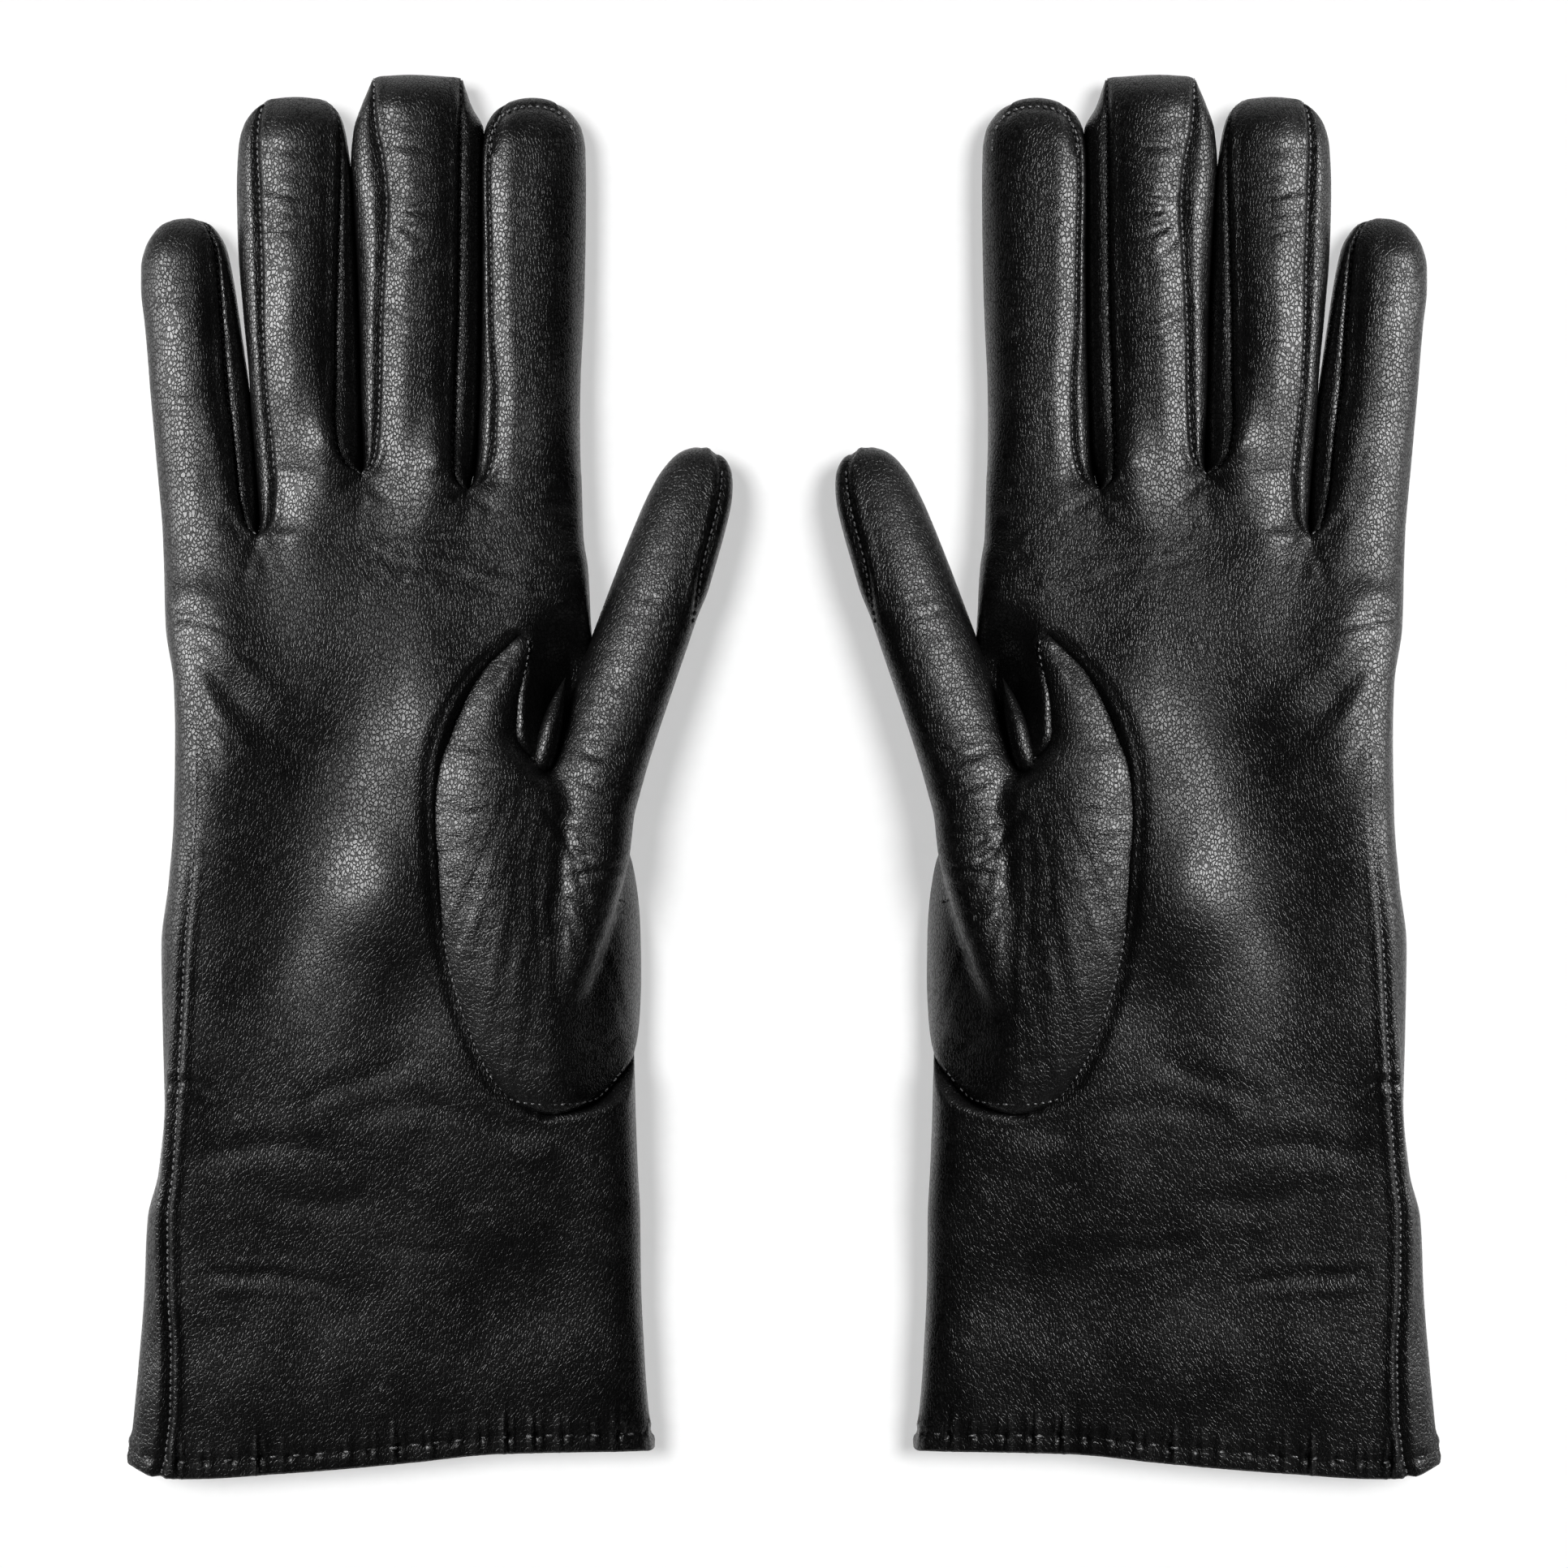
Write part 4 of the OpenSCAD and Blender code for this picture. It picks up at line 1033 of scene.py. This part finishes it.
def stitches(path, up, pitch, length, radius, lift):
    """Short thread capsules along a line of points."""
    path, up = np.asarray(path, float), np.asarray(up, float)
    run = np.concatenate([[0], np.cumsum(np.linalg.norm(np.diff(path, axis=0), axis=1))])
    spots = np.arange(pitch / 2, run[-1], pitch)
    if not len(spots):
        return np.zeros((0, 3)), np.zeros((0, 4), int)
    at = lambda d, v: np.column_stack([np.interp(d, run, v[:, k]) for k in range(3)])
    centre = at(spots, path)
    ahead = at(np.minimum(spots + 0.4, run[-1]), path) - at(np.maximum(spots - 0.4, 0), path)
    ahead /= np.linalg.norm(ahead, axis=1)[:, None] + 1e-9
    lift_way = at(spots, up)
    lift_way -= (lift_way * ahead).sum(1)[:, None] * ahead
    lift_way /= np.linalg.norm(lift_way, axis=1)[:, None] + 1e-9
    side = np.cross(ahead, lift_way)
    points, faces = [], []
    turn = full_turn(STITCH_SIDES)
    for c, a, u, s in zip(centre, ahead, lift_way, side):
        base = len(points)
        end = base + (len(STITCH_RINGS) - 1) * STITCH_SIDES
        for along, r, rise in STITCH_RINGS:
            middle = c + a * along * length + u * (lift + rise * radius)
            points += [middle + (u * math.cos(t) + s * math.sin(t)) * r * radius for t in turn]
        for p in range(base, end, STITCH_SIDES):
            for k in range(STITCH_SIDES):
                after = (k + 1) % STITCH_SIDES
                faces.append((p + k, p + after, p + STITCH_SIDES + after, p + STITCH_SIDES + k))
        for ring in (range(base, base + STITCH_SIDES)[::-1], range(end, end + STITCH_SIDES)):
            faces.append((ring[0], ring[1], ring[2], ring[3]))
            faces.append((ring[0], ring[3], ring[4], ring[5]))
    return np.array(points), np.array(faces)


def join(parts):
    """Several sets of points and faces as one."""
    points, faces, at = [], [], 0
    for p, f in parts:
        if len(p):
            points.append(p)
            faces.append(f + at)
            at += len(p)
    return np.vstack(points), np.vstack(faces)


skin_normals = skin.normals()
cut = skin.pieces()
STITCH = dict(pitch=1.7, length=1.2, radius=0.26, lift=0.12)
GUSSET_STITCH = dict(pitch=1.7, length=1.1, radius=0.22, lift=0.03)
TACK = dict(pitch=TACK_PITCH, length=2.0, radius=0.3, lift=-0.12)


def seam_line(note, col):
    ids = skin.ids[seams[note]][:, col]
    return skin.points[ids], skin_normals[ids]


def on_surface(path, points, normals):
    """The points of a surface's upper side nearest a flat path, and the way each one faces."""
    upper = np.where(normals[:, 2] > 0.15)[0]
    near = np.array([upper[np.argmin(((points[upper, :2] - p) ** 2).sum(1))] for p in path])
    return np.column_stack([path, points[near, 2]]), normals[near]


def tip_seam_path():
    turn = np.linspace(0, math.pi, 40)
    bend = lambda v: np.sign(v) * np.abs(v) ** (2 / TIP_SEAM_POWER)
    arc = np.column_stack([bend(np.cos(turn)), bend(np.sin(turn))])
    return np.array(TIP_SEAM_CENTRE) + np.array(TIP_SEAM_SIZE) * arc


def smoothed(line, times=3):
    line = line.copy()
    for _ in range(times):
        line[1:-1] = (line[:-2] + 2 * line[1:-1] + line[2:]) / 4
    return line


def gusset_seam_paths():
    """Stitching lines just inside the gusset's outline: round the palm side and foot, and up the notch."""
    rows = np.linspace(29.5, -73.0, 150)
    table = track(GUSSET, rows)
    palm_path = np.column_stack([table[:, 1] - 0.9, rows])
    foot_rows = np.linspace(-73.0, -64.0, 16)
    foot = track(GUSSET, foot_rows)
    foot_path = np.column_stack([foot[:, 0] + 0.9, foot_rows])
    notch_rows = np.linspace(30.0, 3.0, 40)
    notch = np.column_stack([track(GUSSET, notch_rows)[:, 0] + 0.7, notch_rows])
    return [smoothed(np.vstack([palm_path, foot_path])), smoothed(notch)]


def thumb_seam_path(low, high):
    far = np.linspace(low, high, int((high - low) / 0.8) + 2)
    side = track(THUMB_SEAM, far)[:, 0]
    return THUMB_ROOT + far[:, None] * ALONG + side[:, None] * ACROSS


def hole_free(points, faces):
    """Faces of the trank that aren't under the gusset."""
    middle = points[faces].mean(1)
    under = (outline_gap(middle[:, 0], middle[:, 1]) > 2.6) & (middle[:, 2] > 11)
    beside = (middle[:, 0] < 50) & (middle[:, 1] > -57) & (middle[:, 1] < -14) & (middle[:, 2] > 6)
    return faces[~(under | beside)]


def trank_rings():
    """Closed rings round the cuff and the palm, from the trank's own rows, and the way each point faces."""
    palm = [skin.ids[seams[name + "_root_palm"]] for name in FINGERS]
    back = [skin.ids[seams[name + "_root_palm"] + 1] for name in FINGERS]
    sides = skin.ids[seams["index_root_edge_in"]], skin.ids[seams["little_root_edge_out"]]
    rows = min(p.shape[0] for p in palm)
    loop = [p[:rows, :-1] for p in palm] + [sides[1][:rows, :-1]]
    loop += [part[:rows, ::-1][:, :-1] for part in (*back[::-1], sides[0])]
    ids = np.concatenate(loop, 1)
    return skin.points[ids], skin_normals[ids]


rings, ring_normals = trank_rings()


def inner_shell(first, last, step, skip, inset, closed_end=False):
    """A shell inside the trank's rings, from row first to row last."""
    rows = list(range(first, last, step))
    shell = rings[rows][:, ::skip] - ring_normals[rows][:, ::skip] * inset
    if closed_end:
        centre = shell[-1].mean(0)
        ahead = np.array([0, 3.0, 0])
        caps = [centre + (shell[-1] - centre) * k + ahead * (1 - k * k) for k in (0.8, 0.5, 0.2)]
        shell = np.concatenate([shell, np.array(caps)])
    return shell


def shell_faces(shell):
    return shell.reshape(-1, 3), tube_faces(*shell.shape[:2])[:, ::-1]


hem_rows = int(HEM_DEPTH / ROW_STEP)
# the fold at the hem's edge: how far in and how far past the edge it goes
HEM_FOLD = ((0, 0), (0.3, -0.45), (0.8, -0.55), (1.25, -0.1))
fold = [rings[0] - ring_normals[0] * inset + np.array([0, drop, 0]) for inset, drop in HEM_FOLD]
hem_band = np.concatenate([np.array(fold), inner_shell(1, hem_rows, 1, 1, HEM_INSET)])
lining_rows = hem_rows - 4, int((LINING_TOP - HEM_Y) / ROW_STEP)
lining_shell = inner_shell(*lining_rows, 3, 3, LINING_INSET, closed_end=True)


def thumb_pieces():
    """Which faces of the thumb's skin belong to the gusset and to the thumb's lower and upper part."""
    centre = thumb_points[thumb_quads].mean(1)
    d, across = thumb_place(centre)
    on_thumb = (across < 12.6) & (centre[:, 2] > 0)
    inside = outline_gap(centre[:, 0], centre[:, 1]) > 1.5
    hidden = inside & (centre[:, 2] < 15) & (d < THUMB_CUTS[0]) & (centre[:, 0] > 46)
    return {
        "gusset": ((d < THUMB_CUTS[0]) | ~on_thumb) & ~hidden,
        "lower": (d >= THUMB_CUTS[0]) & (d < THUMB_CUTS[1]) & on_thumb,
        "upper": (d >= THUMB_CUTS[1]) & on_thumb,
    }


def finger_lining(lane, name):
    """A knit tube inside one finger's lower part."""
    rows = np.linspace(START_Y[name] - 4, sum(MIDDLE_BEND[name]) / 2 - 4, 16)
    g = lane_grid(lane, rows, inset=1.7)
    back, inner = g["back"][:, ::-1], g["in"][:, ::-1]
    return np.concatenate([g["palm"][:, :-1:3], g["out"][:, :-1:2], back[:, :-1:2], inner[:, :-1:2]], 1)


def thumb_lining():
    """A knit tube inside the thumb's lower part."""
    turn = full_turn(20)
    shell = []
    for dist in np.linspace(2, 34, 12):
        half, thick, cz = track(THUMB, dist)[0]
        c = THUMB_ROOT + dist * ALONG
        reach = (half - 2) * np.cos(turn)
        shell.append(np.column_stack([
            c[0] + reach * ACROSS[0], c[1] + reach * ACROSS[1], cz + (thick / 2 - 2) * np.sin(turn)]))
    return np.array(shell)


def quirk_shell():
    """The slim gusset in the crotch of the thumb."""
    turn = full_turn(14)
    rings = []
    for cx, cy, cz, r in track(QUIRK, np.linspace(0, 1, 26)):
        rings.append(np.column_stack([cx + r * np.cos(turn), np.full(14, cy), cz + 1.5 * r * np.sin(turn)]))
    return np.array(rings)


def sewn(hand, name, lines):
    """A piece of thread: stitches along lines, each given as points, normals and the stitch's sizes."""
    points, faces = join([stitches(path, ways, **sizes) for path, ways, sizes in lines])
    return make_piece(name, hand, points, faces, "thread")


def fixed(obj, hand, node=None):
    """Lets a piece ride the hand, in place of a CAD node where it has one."""
    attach(obj, f"{hand}_hand")
    if node:
        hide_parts(f"{hand}_{node}")


def build_trank(hand):
    points, faces, normals, used = cut["trank"]
    open_faces = hole_free(points, faces)
    trank = make_piece("trank_leather", hand, points, open_faces, "leather", normals, creased[used])
    fixed(trank, hand, "trank")
    points, faces, normals, used = cut["fork_roots"]
    fixed(make_piece("fourchette_roots", hand, points, faces, "fourchette_leather", normals), hand)


def build_cuff(hand):
    fixed(make_piece("hem_band", hand, *shell_faces(hem_band), "hem_leather"), hand, "cuff_hem")
    fixed(make_piece("hand_lining_knit", hand, *shell_faces(lining_shell), "lining"), hand, "hand_lining")
    row = int(round(TACK_HEIGHT / ROW_STEP))
    path, ways = (np.vstack([v[row], v[row][:1]]) for v in (rings, ring_normals))
    fixed(sewn(hand, "hem_stitches", [(path, ways, TACK)]), hand, "hem_tacks")


def build_finger(hand, lane, name):
    fork = "fourchette" if name in ("index", "little") else "fourchettes"
    sides = [k for k, edge in (("in", lane), ("out", lane + 1)) if edge not in (0, 4)]
    for part, cad in (("lower", "base"), ("upper", "tip")):
        points, faces, normals, used = cut[f"{name}_{part}"]
        face = make_piece(f"{name}_{part}_leather", hand, points, faces, "leather", normals, creased[used])
        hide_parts(f"{hand}_{name}_{cad}")
        points, faces, normals, used = cut[f"{name}_fork_{part}"]
        strip = make_piece(f"{name}_{part}_fourchette", hand, points, faces, "fourchette_leather", normals)
        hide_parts(f"{hand}_{name}_{fork}_{cad}")
        lines = [(*seam_line(f"{name}_{part}_fork_{k}", col), STITCH) for k in sides for col in (0, -1)]
        if part == "upper" and name == "index":
            lines.append((*on_surface(tip_seam_path(), skin.points, skin_normals), STITCH))
        thread = sewn(hand, f"{name}_{part}_stitches", lines)
        for obj in (face, strip, thread):
            finger_blend(obj)
    lining = make_piece(f"{name}_lining_knit", hand, *shell_faces(finger_lining(lane, name)), "lining")
    finger_blend(lining)
    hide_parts(f"{hand}_{name}_lining")


def build_thumb(hand):
    nodes = {"gusset": "thumb_gusset", "lower": "thumb_base", "upper": "thumb_tip"}
    for part, chosen in thumb_pieces().items():
        used, index = np.unique(thumb_quads[chosen], return_inverse=True)
        obj = make_piece(
            f"thumb_{part}_leather", hand, thumb_points[used], index.reshape(-1, 4), "leather",
            thumb_normals[used], thumb_amount[used])
        if part == "gusset":
            fixed(obj, hand, nodes[part])
        else:
            thumb_blend(obj)
            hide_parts(f"{hand}_{nodes[part]}")
    on_thumb = lambda path: on_surface(path, thumb_points, thumb_normals)
    gusset_lines = [(*on_thumb(path), GUSSET_STITCH) for path in gusset_seam_paths()]
    fixed(sewn(hand, "gusset_stitches", gusset_lines), hand)
    thread = sewn(hand, "thumb_stitches", [(*on_thumb(thumb_seam_path(46.0, 80.5)), STITCH)])
    thumb_blend(thread)
    side_path, side_ways = seam_line("little_root_palm", -2)
    cuff = side_path[:, 1] < 5
    fixed(sewn(hand, "side_seam_stitches", [(side_path[cuff], side_ways[cuff], STITCH)]), hand)
    lining = make_piece("thumb_lining_knit", hand, *shell_faces(thumb_lining()), "lining")
    thumb_blend(lining)
    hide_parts(f"{hand}_thumb_lining")
    points, faces = shell_faces(quirk_shell())
    quirk = make_piece("thumb_quirk", hand, points, faces[:, ::-1], "fourchette_leather")
    thumb_blend(quirk)


for hand in HANDS:
    build_trank(hand)
    build_cuff(hand)
    for lane, name in enumerate(FINGERS):
        build_finger(hand, lane, name)
    build_thumb(hand)

# ------------------------------------------------------------------ floor, light and camera
VIEW_WIDTH = 0.3478
VIEW_CENTRE = (0.0, -0.002)
LENS = 200.0
SENSOR = 36.0
ZENITH_GLOW = 0.012
HORIZON_GLOW = 0.35
BACKDROP = 0.97
FLOOR_HALF = 1.6
FLOOR_Z = -0.0002
FLOOR_GLOW = 0.06
FLOOR_SUN = 1.75
FLOOR_SUN_ANGLE = 0.34

floor_mesh = bpy.data.meshes.new("floor")
corners = [(x, y, FLOOR_Z) for x, y in ((-1, -1), (1, -1), (1, 1), (-1, 1))]
floor_mesh.from_pydata([(x * FLOOR_HALF, y * FLOOR_HALF, z) for x, y, z in corners], [], [(0, 1, 2, 3)])
floor = bpy.data.objects.new("floor", floor_mesh)
bpy.context.scene.collection.objects.link(floor)
paper, make, _ = new_material("pale_paper")
speck = make("ShaderNodeTexNoise", {"Scale": 900.0, "Detail": 2.0})
tint = make("ShaderNodeMixRGB", {"Fac": speck.outputs["Fac"], "Color1": grey(0.88), "Color2": grey(0.92)})
flat = make("ShaderNodeBsdfPrincipled", {
    "Base Color": tint.outputs[0], "Roughness": 0.9, "Specular IOR Level": 0.1,
    "Emission Color": grey(1), "Emission Strength": FLOOR_GLOW})
make("ShaderNodeOutputMaterial", {"Surface": flat.outputs[0]})
floor_mesh.materials.append(paper)

# the camera sees a white room, but the leather mirrors a dark one that glows only low down at both ends
world = bpy.data.worlds.new("studio")
bpy.context.scene.world = world
world.use_nodes = True
world.node_tree.nodes.clear()
make = node_maker(world)
seen = make("ShaderNodeLightPath").outputs["Is Camera Ray"]
way = make("ShaderNodeTexCoord").outputs["Generated"]
parts = make("ShaderNodeSeparateXYZ", {"Vector": way}).outputs
low = make("ShaderNodeMapRange", {
    "Value": parts["Z"], "From Max": 0.7, "To Min": HORIZON_GLOW, "To Max": 0.0}).outputs[0]
ends = make("ShaderNodeMath", {0: parts["Y"], 1: 2.0}, operation="POWER").outputs[0]
glow = multiply_add(make, low, ends, ZENITH_GLOW)
strength = make("ShaderNodeMapRange", {"Value": seen, "To Min": glow, "To Max": BACKDROP}).outputs[0]
sky = make("ShaderNodeBackground", {"Color": grey(1), "Strength": strength})
make("ShaderNodeOutputWorld", {"Surface": sky.outputs[0]})


def area_light(name, place, target, size, power, only=None):
    """A soft box. One given a glove's collection lights only that glove, and only that glove shades it."""
    light = bpy.data.lights.new(name, "AREA")
    light.shape, light.size, light.size_y, light.energy = "RECTANGLE", size[0], size[1], power
    obj = bpy.data.objects.new(name, light)
    obj.location = place
    obj.rotation_euler = (Vector(target) - Vector(place)).to_track_quat("-Z", "Y").to_euler()
    bpy.context.scene.collection.objects.link(obj)
    if only:
        obj.light_linking.receiver_collection = only
        obj.light_linking.blocker_collection = only


# lamps of the left-hand glove: place, size and power. The right-hand glove's are their mirror image
KEY = ((0.59, 0.20, 0.55), (0.30, 0.54), 8.8)
LOW = ((0.66, 0.05, 0.22), (0.16, 0.5), 2.6)
AIM = (0.09, 0.03, 0.01)
FLOOR_SUN_WAY = (-0.27, -0.11, -0.71)


def mirrored(place, sign):
    return (sign * place[0], *place[1:])


floor_set = bpy.data.collections.new("floor_only")
floor_set.objects.link(floor)
for hand, sign in HANDS.items():
    for label, (place, size, power) in (("_key_light", KEY), ("_low_light", LOW)):
        area_light(hand + label, mirrored(place, sign), mirrored(AIM, sign), size, power, sets[hand])
    sun = bpy.data.lights.new(hand + "_floor_sun", "SUN")
    sun.energy, sun.angle = FLOOR_SUN, FLOOR_SUN_ANGLE
    lamp = bpy.data.objects.new(hand + "_floor_sun", sun)
    lamp.rotation_euler = Vector(mirrored(FLOOR_SUN_WAY, sign)).to_track_quat("-Z", "Y").to_euler()
    bpy.context.scene.collection.objects.link(lamp)
    lamp.light_linking.receiver_collection = floor_set
    lamp.light_linking.blocker_collection = sets[hand]
area_light("top_light", (0, 0.2, 1.5), (0, 0, 0), (1.0, 1.0), 0.2)

camera_data = bpy.data.cameras.new("camera")
camera_data.lens, camera_data.sensor_width = LENS, SENSOR
camera_data.clip_start, camera_data.clip_end = 0.05, 20
camera = bpy.data.objects.new("camera", camera_data)
camera.location = (VIEW_CENTRE[0], VIEW_CENTRE[1], 0.012 + VIEW_WIDTH * LENS / SENSOR)
bpy.context.scene.collection.objects.link(camera)
bpy.context.scene.camera = camera
bpy.context.scene.view_settings.view_transform = "Standard"
